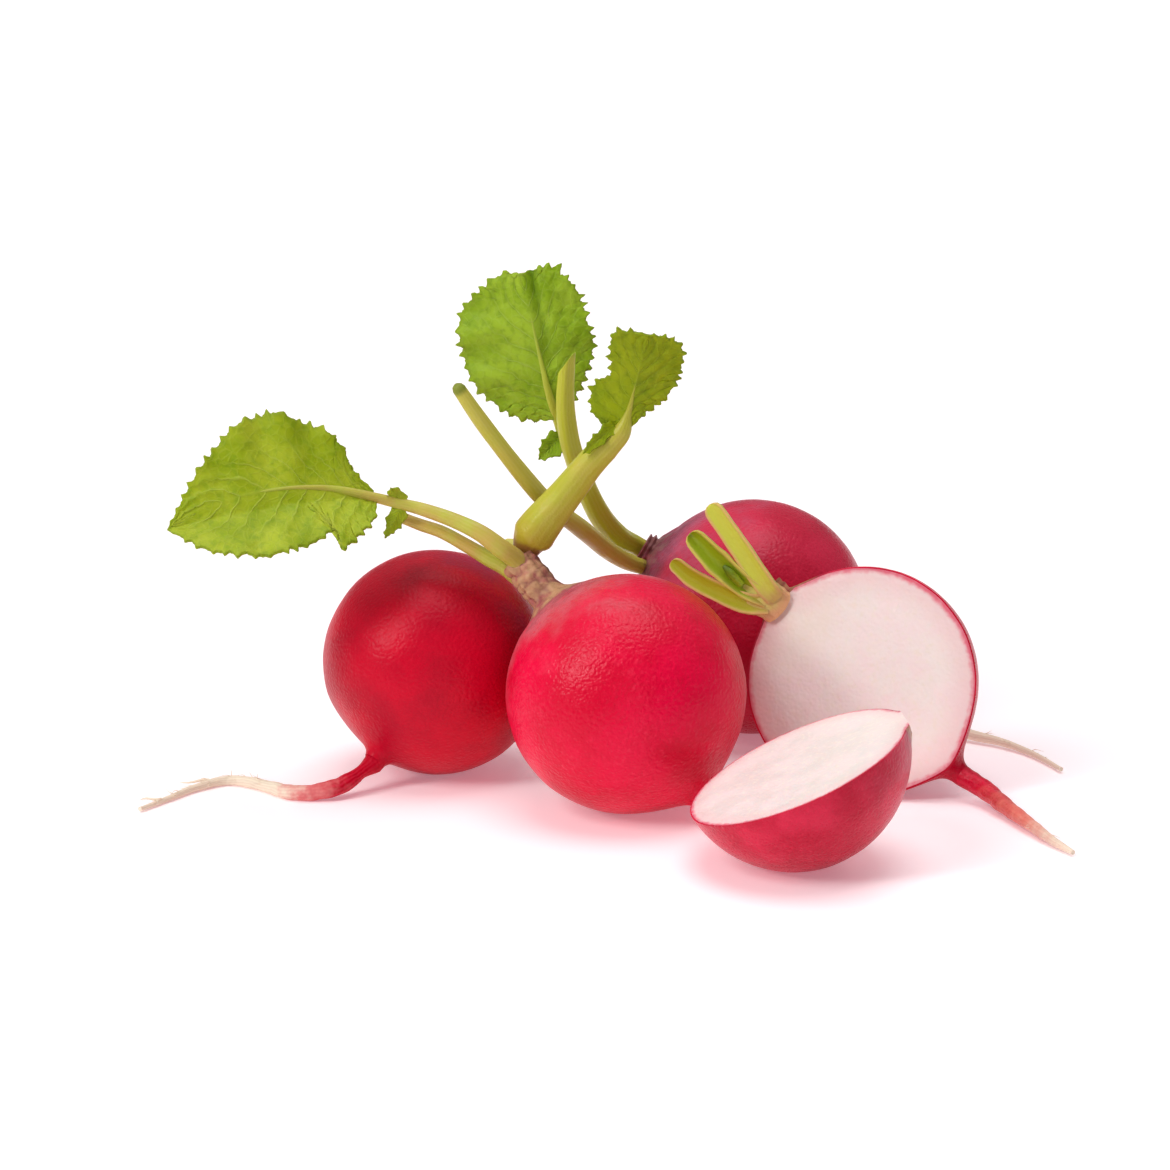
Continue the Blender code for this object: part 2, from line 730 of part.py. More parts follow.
def half_tops(collection):
    """The fan of stalks on the half, cut lengthwise by the same knife stroke as the root."""
    axis = half_axis()
    foot = Vector(half_centre()) + axis * (HALF_RADIUS + HALF_KNOB[1] * 0.6)
    stalks = [
        stalk("half_stalks", (foot, (16.4, 10.6, 32.0), (12.0, 12.8, 37.4)), (1.9, 1.55, 1.3), collection),
        stalk("half_stalk_low", (foot, (14.6, 9.6, 27.4), (10.2, 11.4, 28.8), (6.3, 12.8, 30.8)),
              (1.7, 1.5, 1.35, 1.15), collection),
        stalk("half_stalk_mid", (foot, (15.0, 10.2, 29.8), (9.4, 12.6, 34.0)), (1.7, 1.4, 1.2), collection),
    ]
    tops = fused(stalks[0], stalks[1:], collection)
    crown = (HALF_RADIUS, half_centre(), axis, HALF_KNOB, collection)
    return [away_from(tops, *crown)]


def left_tops(collection):
    """Stubs of the stalks that were cut off the left radish."""
    foot = Vector(LEFT_CENTRE) + Vector(LEFT_CROWN) * (LEFT_RADIUS + LEFT_KNOB[1] * 0.7)
    ends = ((-13.2, 28.4, 29.2), (-13.4, 31.0, 28.2), (-15.8, 31.0, 28.8))
    stubs = [stalk(f"left_stubs_{i}", (foot, end), (1.25, 1.05), collection) for i, end in enumerate(ends)]
    stubs[0].name = "left_stubs"
    tops = fused(stubs[0], stubs[1:], collection)
    return [away_from(tops, LEFT_RADIUS, LEFT_CENTRE, LEFT_CROWN, LEFT_KNOB, collection)]


def finish(objects, material, shift):
    """Gives each piece its material and smooth shading, and moves it to the origin's frame."""
    for obj in objects:
        obj.data.materials.clear()
        obj.data.materials.append(material)
        obj.data.shade_smooth()
        obj.data.set_sharp_from_angle(angle=math.radians(SHARP_ANGLE))
        obj.location = -shift


def main():
    clear_scene()
    bunch = new_collection("bunch_of_radishes")
    skin = new_material("radish_skin", SKIN_RED, 0.35)
    flesh = new_material("radish_flesh", FLESH_WHITE, 0.45)
    stalk_green = new_material("stalk", STALK_GREEN, 0.45)
    leaf_green = new_material("leaf", LEAF_GREEN, 0.55)
    shift = mm(*BOX_MIDDLE)
    finish(whole_roots(bunch), skin, shift)
    finish([half_root(bunch), slice_root(bunch)], flesh, shift)
    tops = front_tops(bunch) + back_tops(bunch) + half_tops(bunch) + left_tops(bunch)
    finish([obj for obj in tops if "leaf" in obj.name], leaf_green, shift)
    finish([obj for obj in tops if "leaf" not in obj.name], stalk_green, shift)


main()
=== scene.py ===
"""The looks of a small bunch of round red radishes, lying on a pale table.

Three whole roots, a half, a slice, three leaves and a few cut stalks are modelled again here, finer, on the
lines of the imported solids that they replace. Lengths are in millimetres and places are measured from the
foot of the front radish, as in the part's own source; to_row() turns such a place into the frame's metres.
"""

import logging
import math
import random
from collections.abc import Callable, Sequence
from dataclasses import dataclass, field, replace
from enum import Enum

import bmesh
import bpy
from mathutils import Matrix, Vector, noise
from mathutils.geometry import interpolate_bezier


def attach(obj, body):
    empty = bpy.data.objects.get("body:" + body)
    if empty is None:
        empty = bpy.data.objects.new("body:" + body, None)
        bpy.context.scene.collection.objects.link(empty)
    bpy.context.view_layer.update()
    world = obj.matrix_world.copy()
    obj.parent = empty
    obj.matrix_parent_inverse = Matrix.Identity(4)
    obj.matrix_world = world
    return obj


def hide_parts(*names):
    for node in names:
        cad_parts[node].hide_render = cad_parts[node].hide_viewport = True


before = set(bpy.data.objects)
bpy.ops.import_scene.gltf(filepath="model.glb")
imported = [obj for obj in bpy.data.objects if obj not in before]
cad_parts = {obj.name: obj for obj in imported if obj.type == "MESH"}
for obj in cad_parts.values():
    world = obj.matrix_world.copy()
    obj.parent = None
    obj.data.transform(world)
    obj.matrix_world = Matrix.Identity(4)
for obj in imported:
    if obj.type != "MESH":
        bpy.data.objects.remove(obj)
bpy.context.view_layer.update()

log = logging.getLogger("radishes")

Colour = tuple[float, float, float]
Place = tuple[float, float, float]
Outline = tuple[tuple[float, float], ...]
Marks = dict[str, float]
Placer = Callable[[float, float], tuple[Vector, Marks]]

Socket = bpy.types.NodeSocket
Node = bpy.types.Node
NodeTree = bpy.types.NodeTree
Material = bpy.types.Material
Piece = bpy.types.Object
Draft = bmesh.types.BMesh

MM = 0.001
BOX_MIDDLE = Vector((-2.49, 7.25, 0.0))
REST_DEPTH = 0.22
WELD = 0.002
BODY = "root"
SURFACE_MAP = "surface"

# The turned shape of a root, with angles in degrees from the crown
SHOULDER_ANGLE = 20.0
FILLET_ANGLE = 146.0
FILLET_PULL = 0.36
NECK_PULL = (0.25, 2.4)
NECK_DROP = 2.6
NECK_RADIUS = 1.45
TAIL_TIP_RADIUS = 0.32
SOLID_TAPER = 0.8
LUMPINESS = 0.008
NOISE_SEED = 1
CROWN_SHARES = ((0.55, 1.0), (0.95, 0.93), (0.84, 0.70), (1.05, 0.55), (0.94, 0.30), (1.25, 0.08))

# Fineness of the turned shape: steps between two places of its profile, and round it
CROWN_STEPS = 6
BELLY_STEPS = 66
FILLET_STEPS = 18
TAIL_RING = 0.5
ROUND_STEPS = 80
FACE_STEPS = 56
ROUTE_STEPS = 12

# Where a pinched tail is thinnest, past its neck, and over what length; the share of the radius below the
# middle where a belly starts to lean with its neck
PINCH_PLACE = 2.6
PINCH_WIDTH = 1.8
LEAN_START = 0.72

# The shoulder's folds, and the distance from the axis at which relief is at its full height
PLEATS = 11
FULL_RELIEF = 1.2

# Cut roots: how far the skin's face lies behind the flesh's, how far the flesh goes down the tail and up the
# crown, its soft swell, and the rows either side of a point from which its distance to the skin is read
SKIN_BEHIND = 0.06
FLESH_TAIL = 6.0
FLESH_CROWN = 1.01
SWELL = 0.14
SWELL_REACH = 1.1
RIM_ROWS = 24

# Stalks: the rings that close an end, the fewest rings and their spacing, how far a round end stands out and
# a blunt one is dished, and the width of the channel and the height of the ridges
CAP_SHARES = (0.0, 0.45, 0.8)
LEAST_RINGS = 24
STALK_RING = 0.45
ROUND_END = 0.8
BLUNT_DISH = 0.25
CHANNEL_ANGLE = 0.55
RIDGE_SHARE = 0.007

# Stalks cut flat by the knife: where the flat side lies, how wide its trough is, the least mark of a cut, and
# the tip mark that keeps such a stalk from darkening at its end
FLAT_SHARE = 0.32
TROUGH_SHARE = 0.8
LEAST_CUT = 0.02
NO_TIP = 40.0

# Leaves: the blade's thickness, steps between two outline points, and how far the rib reaches to the tip
BLADE_THICKNESS = 0.36
EDGE_STEPS = 6
RIB_REACH = 0.95

# Side roots: how much thinner they end, the radius of a tail's fork, and the mark that makes them pale
HAIR_TAPER = 0.8
FORK_RADIUS = 0.3
HAIR_MARK = 60.0

SHARP_ANGLE = 50.0
CLOUD_SPAN = (0.2, 0.8)
# How much rougher the skin is where its pale painted sheen lies
SHEEN_DULLNESS = 0.1
SKIN_MARKS = ("polar", "tail", "lump")
FLESH_MARKS = (*SKIN_MARKS, "rim", "crown")
STALK_MARKS = ("foot", "tip", "cut")


def srgb(red: int, green: int, blue: int) -> Colour:
    """A screen colour from 0 to 255 as linear light."""
    shares = (value / 255.0 for value in (red, green, blue))
    return tuple(s / 12.92 if s <= 0.04045 else ((s + 0.055) / 1.055) ** 2.4 for s in shares)


def to_row(place: Vector) -> Vector:
    """A place in millimetres from the front radish's foot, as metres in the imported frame."""
    return (place - BOX_MIDDLE) * MM


def smooth_share(value: float, low: float, high: float) -> float:
    """0 below low, 1 above high and an even S-shaped rise between them; low may be the larger."""
    share = min(max((value - low) / (high - low), 0.0), 1.0)
    return share * share * (3.0 - 2.0 * share)


def unevenness(spot: Vector, size: float, height: float) -> float:
    """Uneven relief of a height either way, with bumps of a size, read at a place in millimetres."""
    return height * noise.noise(spot / size)


def smooth_line(points: Sequence[Vector], steps: int) -> list[Vector]:
    """Points along a Catmull-Rom line.

    Args:
        points: the places that the line goes through.
        steps: steps from one of them to the next.

    Returns:
        The line's points, the first and last of the given ones among them.
    """
    padded = [2 * points[0] - points[1], *points, 2 * points[-1] - points[-2]]
    found = []
    for before, start, end, after in zip(padded, padded[1:], padded[2:], padded[3:]):
        for step in range(steps):
            t = step / steps
            bend = 2 * before - 5 * start + 4 * end - after
            turn = 3 * start - before - 3 * end + after
            found.append(0.5 * (2 * start + (end - before) * t + bend * t**2 + turn * t**3))
    return [*found, points[-1].copy()]


def distances(points: Sequence[Vector]) -> list[float]:
    """The distance along a line at each of its points.

    Args:
        points: the line.

    Returns:
        The distances, from 0.
    """
    found = [0.0]
    for a, b in zip(points, points[1:]):
        found.append(found[-1] + (b - a).length)
    return found


def step_at(places: Sequence[float], distance: float) -> tuple[int, float]:
    """The step of a line that a distance falls in, and the share of that step.

    Args:
        places: the distances of the points between its steps.
        distance: how far along it.

    Returns:
        The number of the step, and a share from 0 to 1.
    """
    i = 0
    while i < len(places) - 2 and places[i + 1] < distance:
        i += 1
    share = (distance - places[i]) / (places[i + 1] - places[i])
    return i, min(max(share, 0.0), 1.0)


class Route:
    """A smooth line through space that carries an upright frame along itself without twisting it."""

    def __init__(self, points: Sequence[Vector], across: Vector) -> None:
        """Lays the line.

        Args:
            points: the places that it goes through.
            across: a direction square to its start, which is carried along it.
        """
        self.points = smooth_line(points, ROUTE_STEPS)
        self.places = distances(self.points)
        heading = self.heading(0)
        self.across = [(across - heading * across.dot(heading)).normalized()]
        for i in range(1, len(self.points)):
            turn = self.heading(i - 1).rotation_difference(self.heading(i))
            self.across.append((turn @ self.across[-1]).normalized())

    @property
    def length(self) -> float:
        """Length of the whole line."""
        return self.places[-1]

    def heading(self, i: int) -> Vector:
        """Direction of the line at one of its points."""
        return (self.points[min(i + 1, len(self.points) - 1)] - self.points[max(i - 1, 0)]).normalized()

    def frame(self, distance: float) -> tuple[Vector, Vector, Vector]:
        """Reads the line.

        Args:
            distance: how far along it.

        Returns:
            The place, the direction carried across, and the heading.
        """
        i, share = step_at(self.places, distance)
        place = self.points[i].lerp(self.points[i + 1], share)
        across = self.across[i].lerp(self.across[i + 1], share).normalized()
        heading = self.heading(i).lerp(self.heading(i + 1), share).normalized()
        return place, across, heading


def new_draft(marks: Sequence[str]) -> Draft:
    """An empty bmesh with a map of its surface and a layer for each of the marks that its points carry.

    Args:
        marks: the names of the marks.

    Returns:
        The draft.
    """
    bm = bmesh.new()
    bm.loops.layers.uv.new(SURFACE_MAP)
    for name in marks:
        bm.verts.layers.float.new(name)
    return bm


def drape(bm: Draft, rows: int, columns: int, place: Placer) -> None:
    """Adds a grid and carries its points to their places.

    Args:
        bm: the draft that the grid is added to.
        rows: steps along the piece.
        columns: steps across or round it.
        place: takes the shares along and across, and gives a point's place in millimetres and its marks.
    """
    made = bmesh.ops.create_grid(bm, x_segments=rows, y_segments=columns, size=1.0, calc_uvs=True)
    layers = bm.verts.layers.float
    for vertex in made["verts"]:
        point, marks = place((vertex.co.x + 1.0) / 2.0, (vertex.co.y + 1.0) / 2.0)
        vertex.co = to_row(point)
        for name, value in marks.items():
            vertex[layers[name]] = value


def welded(bm: Draft) -> Draft:
    """Closes the seams and poles of a draft and turns its faces outwards.

    Args:
        bm: the draft.

    Returns:
        The same draft.
    """
    bmesh.ops.remove_doubles(bm, verts=bm.verts, dist=WELD * MM)
    bmesh.ops.dissolve_degenerate(bm, dist=WELD * MM, edges=bm.edges)
    bmesh.ops.recalc_face_normals(bm, faces=bm.faces)
    return bm


def made_piece(bm: Draft, name: str, material: Material) -> Piece:
    """Turns a draft into a smooth object.

    Args:
        bm: the draft, which is freed.
        name: the piece's name.
        material: its finish.

    Returns:
        The object, at the origin.
    """
    mesh = bpy.data.meshes.new(name)
    bm.to_mesh(mesh)
    bm.free()
    mesh.materials.append(material)
    mesh.shade_smooth()
    mesh.set_sharp_from_angle(angle=math.radians(SHARP_ANGLE))
    piece = bpy.data.objects.new(name, mesh)
    bpy.context.scene.collection.objects.link(piece)
    return piece


class Slot(Enum):
    """The record's material slots."""

    SKIN = "radish_skin"
    FLESH = "radish_flesh"
    LEAF = "leaf"
    STALK = "stalk"


def settle(piece: Piece, node: str) -> Piece:
    """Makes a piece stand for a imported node.

    Args:
        piece: the finished object.
        node: the node that it replaces.

    Returns:
        The piece.
    """
    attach(piece, BODY)
    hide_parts(node)
    log.info("%s stands for %s, with %d faces", piece.name, node, len(piece.data.polygons))
    return piece


class Net:
    """Short calls that add nodes to one node tree and wire them."""

    def __init__(self, tree: NodeTree) -> None:
        """Takes the tree that the nodes go in."""
        self.tree = tree

    def node(self, kind: str, **settings: object) -> Node:
        """Adds a shader node of a kind, with its settings.

        Args:
            kind: its type, without the word ShaderNode.
            settings: its properties.

        Returns:
            The node.
        """
        made = self.tree.nodes.new("ShaderNode" + kind)
        for name, value in settings.items():
            setattr(made, name, value)
        return made

    def feed(self, socket: Socket, value: object) -> None:
        """Wires a socket to another, or sets its value.

        Args:
            socket: what is fed.
            value: a socket, or a plain value.
        """
        if isinstance(value, Socket):
            self.tree.links.new(value, socket)
        else:
            socket.default_value = value

    def place(self) -> Socket:
        """Place on the object, in metres."""
        return self.node("TexCoord").outputs["Object"]

    def mark(self, name: str) -> Socket:
        """A mark that the piece's points carry."""
        return self.node("Attribute", attribute_name=name).outputs["Fac"]

    def surface(self) -> tuple[Socket, Socket]:
        """The shares along and across the piece, from its own map."""
        parts = self.node("SeparateXYZ")
        self.feed(parts.inputs[0], self.node("UVMap", uv_map=SURFACE_MAP).outputs[0])
        return parts.outputs[0], parts.outputs[1]

    def math(self, operation: str, a: object, b: object = 0.0) -> Socket:
        """One sum on two values.

        Args:
            operation: the sum.
            a: the first.
            b: the second.

        Returns:
            The socket with the result.
        """
        made = self.node("Math", operation=operation)
        self.feed(made.inputs[0], a)
        self.feed(made.inputs[1], b)
        return made.outputs[0]

    def times(self, a: object, b: object) -> Socket:
        """One value times another."""
        return self.math("MULTIPLY", a, b)

    def plus(self, a: object, b: object) -> Socket:
        """Two values added up."""
        return self.math("ADD", a, b)

    def rise(
        self, value: object, low: float, high: float, start: float = 0.0, end: float = 1.0
    ) -> Socket:
        """A smooth rise, or fall, between two values.

        Args:
            value: what is read.
            low: where the rise starts.
            high: where it ends.
            start: what comes out below low.
            end: what comes out above high.

        Returns:
            The socket with the result.
        """
        made = self.node("MapRange", interpolation_type="SMOOTHSTEP")
        for socket, given in zip(made.inputs, (value, low, high, start, end)):
            self.feed(socket, given)
        return made.outputs[0]

    def noise(self, size: float, detail: float = 3.0, stretch: Place = (1.0, 1.0, 1.0)) -> Socket:
        """Cloudy variation over the object.

        Args:
            size: how wide its clouds are, in millimetres.
            detail: how many finer layers it has.
            stretch: how much tighter it is along each axis.

        Returns:
            The socket with a value from 0 to 1.
        """
        mapping = self.node("Mapping", vector_type="POINT")
        self.feed(mapping.inputs["Vector"], self.place())
        mapping.inputs["Scale"].default_value = stretch
        made = self.node("TexNoise")
        self.feed(made.inputs["Vector"], mapping.outputs[0])
        made.inputs["Scale"].default_value = 1.0 / (size * MM)
        made.inputs["Detail"].default_value = detail
        return made.outputs[0]

    def strayed(self, value: object, size: float, reach: float, detail: float = 3.0) -> Socket:
        """A value that cloudy variation carries up and down.

        Args:
            value: what is carried.
            size: how wide the clouds are, in millimetres.
            reach: how far they carry it, either way.
            detail: how many finer layers they have.

        Returns:
            The socket with the result.
        """
        return self.plus(value, self.rise(self.noise(size, detail), *CLOUD_SPAN, -reach, reach))

    def mix(self, share: object, a: object, b: object, blend: str = "MIX") -> Socket:
        """One colour laid over another by a share from 0 to 1.

        Args:
            share: the share.
            a: the colour below.
            b: the colour on top.
            blend: how they mix.

        Returns:
            The socket with the colour.
        """
        made = self.node("Mix", data_type="RGBA", blend_type=blend)
        self.feed(made.inputs[0], share)
        for socket, colour in ((made.inputs[6], a), (made.inputs[7], b)):
            self.feed(socket, colour if isinstance(colour, Socket) else (*colour, 1.0))
        return made.outputs[2]

    def bump(self, height: object, depth: float, under: Socket | None = None) -> Socket:
        """Fine relief.

        Args:
            height: the relief, from 0 to 1.
            depth: how deep it is, in millimetres.
            under: a relief that it lies on.

        Returns:
            The socket with the normal.
        """
        made = self.node("Bump")
        made.inputs["Distance"].default_value = depth * MM
        self.feed(made.inputs["Height"], height)
        if under:
            self.feed(made.inputs["Normal"], under)
        return made.outputs[0]

    def group(self, tree: NodeTree, **values: object) -> Node:
        """Places a node group, with values for its inputs by name.

        Args:
            tree: the group.
            values: a value or a socket for each input.

        Returns:
            The node.
        """
        made = self.node("Group", node_tree=tree)
        for name, value in values.items():
            self.feed(made.inputs[name], value)
        return made


def new_group(name: str, inputs: dict[str, float], outputs: Sequence[str]) -> NodeTree:
    """A node group with number sockets and their group nodes.

    Args:
        name: the group's name.
        inputs: its inputs, with what each is unless it is set.
        outputs: its outputs.

    Returns:
        The group.
    """
    tree = bpy.data.node_groups.new(name, "ShaderNodeTree")
    for title, value in inputs.items():
        socket = tree.interface.new_socket(name=title, in_out="INPUT", socket_type="NodeSocketFloat")
        socket.default_value = value
    for title in outputs:
        tree.interface.new_socket(name=title, in_out="OUTPUT", socket_type="NodeSocketFloat")
    tree.nodes.new("NodeGroupInput")
    tree.nodes.new("NodeGroupOutput")
    return tree


class SharedEffects:
    """Node groups that more than one finish uses, each built once."""

    def __init__(self) -> None:
        """Starts with none built."""
        self.built: dict[str, NodeTree] = {}

    def mottle(self) -> NodeTree:
        """Broad blotches, fine specks and a pore-like grain, as on any plant's skin."""
        if "mottle" in self.built:
            return self.built["mottle"]
        sizes = {"Blotch": 5.0, "Speck": 0.8, "Pore": 0.35}
        tree = new_group("mottle", sizes, ("Blotches", "Specks", "Pores"))
        net = Net(tree)
        given, given_out = tree.nodes["Group Input"], tree.nodes["Group Output"]
        for title, detail, low, high in (("Blotch", 4.0, 0.36, 0.66), ("Speck", 3.0, 0.50, 0.72)):
            cloud = net.node("TexNoise")
            net.feed(cloud.inputs["Vector"], net.place())
            net.feed(cloud.inputs["Scale"], net.math("DIVIDE", 1.0 / MM, given.outputs[title]))
            cloud.inputs["Detail"].default_value = detail
            name = "Blotches" if title == "Blotch" else "Specks"
            net.feed(given_out.inputs[name], net.rise(cloud.outputs[0], low, high))
        cells = net.node("TexVoronoi", feature="SMOOTH_F1")
        net.feed(cells.inputs["Vector"], net.place())
        net.feed(cells.inputs["Scale"], net.math("DIVIDE", 1.0 / MM, given.outputs["Pore"]))
        net.feed(given_out.inputs["Pores"], net.rise(cells.outputs["Distance"], 0.05, 0.75))
        self.built["mottle"] = tree
        return tree

    def fibres(self) -> NodeTree:
        """Fine lines that run along a stalk or a tail, broken here and there."""
        if "fibres" in self.built:
            return self.built["fibres"]
        tree = new_group("fibres", {"Lines": 26.0, "Broken": 0.4}, ("Mask",))
        net = Net(tree)
        given, given_out = tree.nodes["Group Input"], tree.nodes["Group Output"]
        around = net.surface()[1]
        wander = net.times(net.noise(2.2, 2.0), given.outputs["Broken"])
        turn = net.plus(net.times(around, given.outputs["Lines"]), wander)
        line = net.math("PINGPONG", turn, 0.5)
        net.feed(given_out.inputs["Mask"], net.rise(line, 0.08, 0.42))
        self.built["fibres"] = tree
        return tree


EFFECTS = SharedEffects()


def new_finish(name: str, roughness: float, **values: object) -> tuple[Material, Net, Node]:
    """A material with one Principled shader.

    Args:
        name: the finish's name.
        roughness: the shader's roughness where nothing is wired to it.
        values: other sockets of the shader, with spaces as underscores.

    Returns:
        The material, its net and its shader.
    """
    material = bpy.data.materials.new(name)
    material.use_nodes = True
    shader = material.node_tree.nodes["Principled BSDF"]
    shader.inputs["Roughness"].default_value = roughness
    for title, value in values.items():
        shader.inputs[title.replace("_", " ")].default_value = value
    return material, Net(material.node_tree), shader


@dataclass(frozen=True)
class Finish:
    """A finish, built when it is first asked for."""

    name: str

    def material(self) -> Material:
        """Builds the finish, or gives it back if it was built before."""
        return bpy.data.materials.get(self.name) or self.built()

    def built(self) -> Material:
        """Builds the finish."""
        raise NotImplementedError


@dataclass(frozen=True)
class SkinFinish(Finish):
    """Thin, satin, crimson root skin: pale and duller round the crown, where a sheen of light is painted,
    brown at the crown and beige down the tail.
    """

    deep: Colour = srgb(206, 0, 44)
    bright: Colour = srgb(226, 0, 58)
    pale: Colour = srgb(240, 58, 88)
    # A painted sheen: a pale colour laid over the upper side round the crown in place of light reflected off
    # it, with how strongly and how far it covers
    painted_sheen: Colour = srgb(196, 66, 92)
    painted_sheen_share: float = 0.5
    painted_sheen_reach: float = 0.46
    crown: Colour = srgb(184, 140, 104)
    crown_dark: Colour = srgb(116, 54, 62)
    crown_pink: Colour = srgb(168, 84, 90)
    tail_pink: Colour = srgb(230, 132, 130)
    tail_beige: Colour = srgb(242, 226, 204)
    fade: tuple[float, float] = (8.0, 20.0)
    speckled: float = 0.3
    grain: float = 0.05
    dullness: float = 0.26
    shine: float = 0.17

    def built(self) -> Material:
        """Builds the finish."""
        material, net, shader = new_finish(
            self.name, 0.4, Specular_IOR_Level=self.shine, Specular_Tint=(1.0, 0.8, 0.86, 1.0)
        )
        mottle = net.group(EFFECTS.mottle(), Blotch=9.0, Speck=0.62, Pore=0.42)
        blotches, specks, pores = (mottle.outputs[i] for i in range(3))
        polar, tail = net.mark("polar"), net.mark("tail")
        skin = net.mix(blotches, self.deep, self.bright)
        where = net.rise(net.noise(8.0), 0.38, 0.62, 0.12, 1.0)
        skin = net.mix(net.times(net.times(specks, where), self.speckled), skin, self.pale)
        # Painted sheen: the pale colour, flecked with the deep red, laid round the crown
        painted_sheen_mask = net.rise(net.strayed(polar, 6.0, 0.12), self.painted_sheen_reach, 0.04, 0.0, self.painted_sheen_share)
        painted_sheen = net.mix(net.rise(net.noise(0.55, 2.0), 0.52, 0.72, 0.0, 0.45), self.painted_sheen, self.deep)
        skin = net.mix(painted_sheen_mask, skin, painted_sheen)
        fibres = net.group(EFFECTS.fibres(), Lines=13.0, Broken=1.6).outputs[0]
        # Pale streaks down the tail: partly its own fibres, partly a painted highlight
        skin = net.mix(net.times(net.rise(tail, 1.5, 6.0, 0.0, 0.4), fibres), skin, self.pale)
        skin = net.mix(self.tail_share(net, tail, 0.0, 0.62), skin, self.tail_pink)
        skin = net.mix(self.tail_share(net, tail, 0.45, 1.0), skin, self.tail_beige)
        streak = net.times(net.rise(tail, 0.5, 6.0, 0.0, 0.12), fibres)
        skin = net.mix(streak, skin, srgb(170, 90, 80), "MULTIPLY")
        wood = net.mix(net.rise(net.noise(2.0), 0.46, 0.66, 0.0, 0.7), self.crown, self.crown_pink)
        wood = net.mix(net.rise(net.mark("lump"), 0.12, -0.3, 0.0, 0.55), wood, self.crown_dark)
        near = net.strayed(polar, 2.0, 0.04)
        skin = net.mix(net.rise(near, 0.20, 0.08, 0.0, 0.6), skin, self.crown_dark)
        skin = net.mix(net.rise(near, 0.115, 0.065), skin, wood)
        net.feed(shader.inputs["Base Color"], skin)
        dull = net.rise(painted_sheen_mask, 0.0, 1.0, self.dullness, self.dullness + SHEEN_DULLNESS)
        net.feed(shader.inputs["Roughness"], net.plus(dull, net.times(pores, 0.07)))
        under = net.bump(net.noise(0.55, 1.0), self.grain, net.bump(net.noise(1.3), 0.05))
        net.feed(shader.inputs["Normal"], net.bump(pores, 0.035, under))
        return material

    def tail_share(self, net: Net, tail: Socket, low: float, high: float) -> Socket:
        """How far the tail has faded, between two shares of the stretch in which it fades.

        Args:
            net: the net that the nodes go in.
            tail: how far down the tail a point is.
            low: the share where it starts.
            high: the share where it ends.

        Returns:
            The socket with a value from 0 to 1.
        """
        start, end = self.fade
        long = end - start
        return net.rise(net.strayed(tail, 1.6, 2.2), start + long * low, start + long * high)


@dataclass(frozen=True)
class FleshFinish(Finish):
    """Moist, warm white cut flesh that turns pink in a thin band under the skin."""

    white: Colour = srgb(247, 239, 234)
    cream: Colour = srgb(241, 232, 212)
    blush: Colour = srgb(244, 222, 222)
    rim: Colour = srgb(226, 84, 112)
    rim_width: float = 0.8
    rim_blush: Colour = srgb(236, 200, 200)
    blush_width: float = 5.0
    core: float = 0.5

    def built(self) -> Material:
        """Builds the finish."""
        material, net, shader = new_finish(
            self.name, 0.42, Subsurface_Weight=0.35, Subsurface_Scale=0.0012,
            Subsurface_Radius=(1.0, 0.55, 0.45), Coat_Roughness=0.25,
        )
        rim, crown = net.mark("rim"), net.mark("crown")
        mottle = net.group(EFFECTS.mottle(), Blotch=4.2, Speck=0.7, Pore=0.5)
        flesh = net.mix(net.times(mottle.outputs[0], 0.55), self.white, self.blush)
        flesh = net.mix(net.times(mottle.outputs[1], 0.35), flesh, self.cream)
        near = net.strayed(crown, 3.5, 2.5)
        flesh = net.mix(net.rise(near, 11.0, 0.5, 0.0, self.core), flesh, self.cream)
        ragged = net.strayed(rim, 0.9, 0.16)
        flesh = net.mix(net.rise(ragged, self.blush_width, 0.0, 0.0, 0.75), flesh, self.rim_blush)
        flesh = net.mix(net.rise(ragged, self.rim_width, 0.0, 0.0, 0.9), flesh, self.rim)
        net.feed(shader.inputs["Base Color"], flesh)
        net.feed(shader.inputs["Roughness"], net.rise(mottle.outputs[0], 0.0, 1.0, 0.36, 0.50))
        net.feed(shader.inputs["Coat Weight"], net.rise(mottle.outputs[1], 0.0, 1.0, 0.30, 0.12))
        under = net.bump(net.noise(1.1, 4.0, (1.0, 1.0, 0.4)), 0.10)
        net.feed(shader.inputs["Normal"], net.bump(mottle.outputs[2], 0.03, under))
        return material


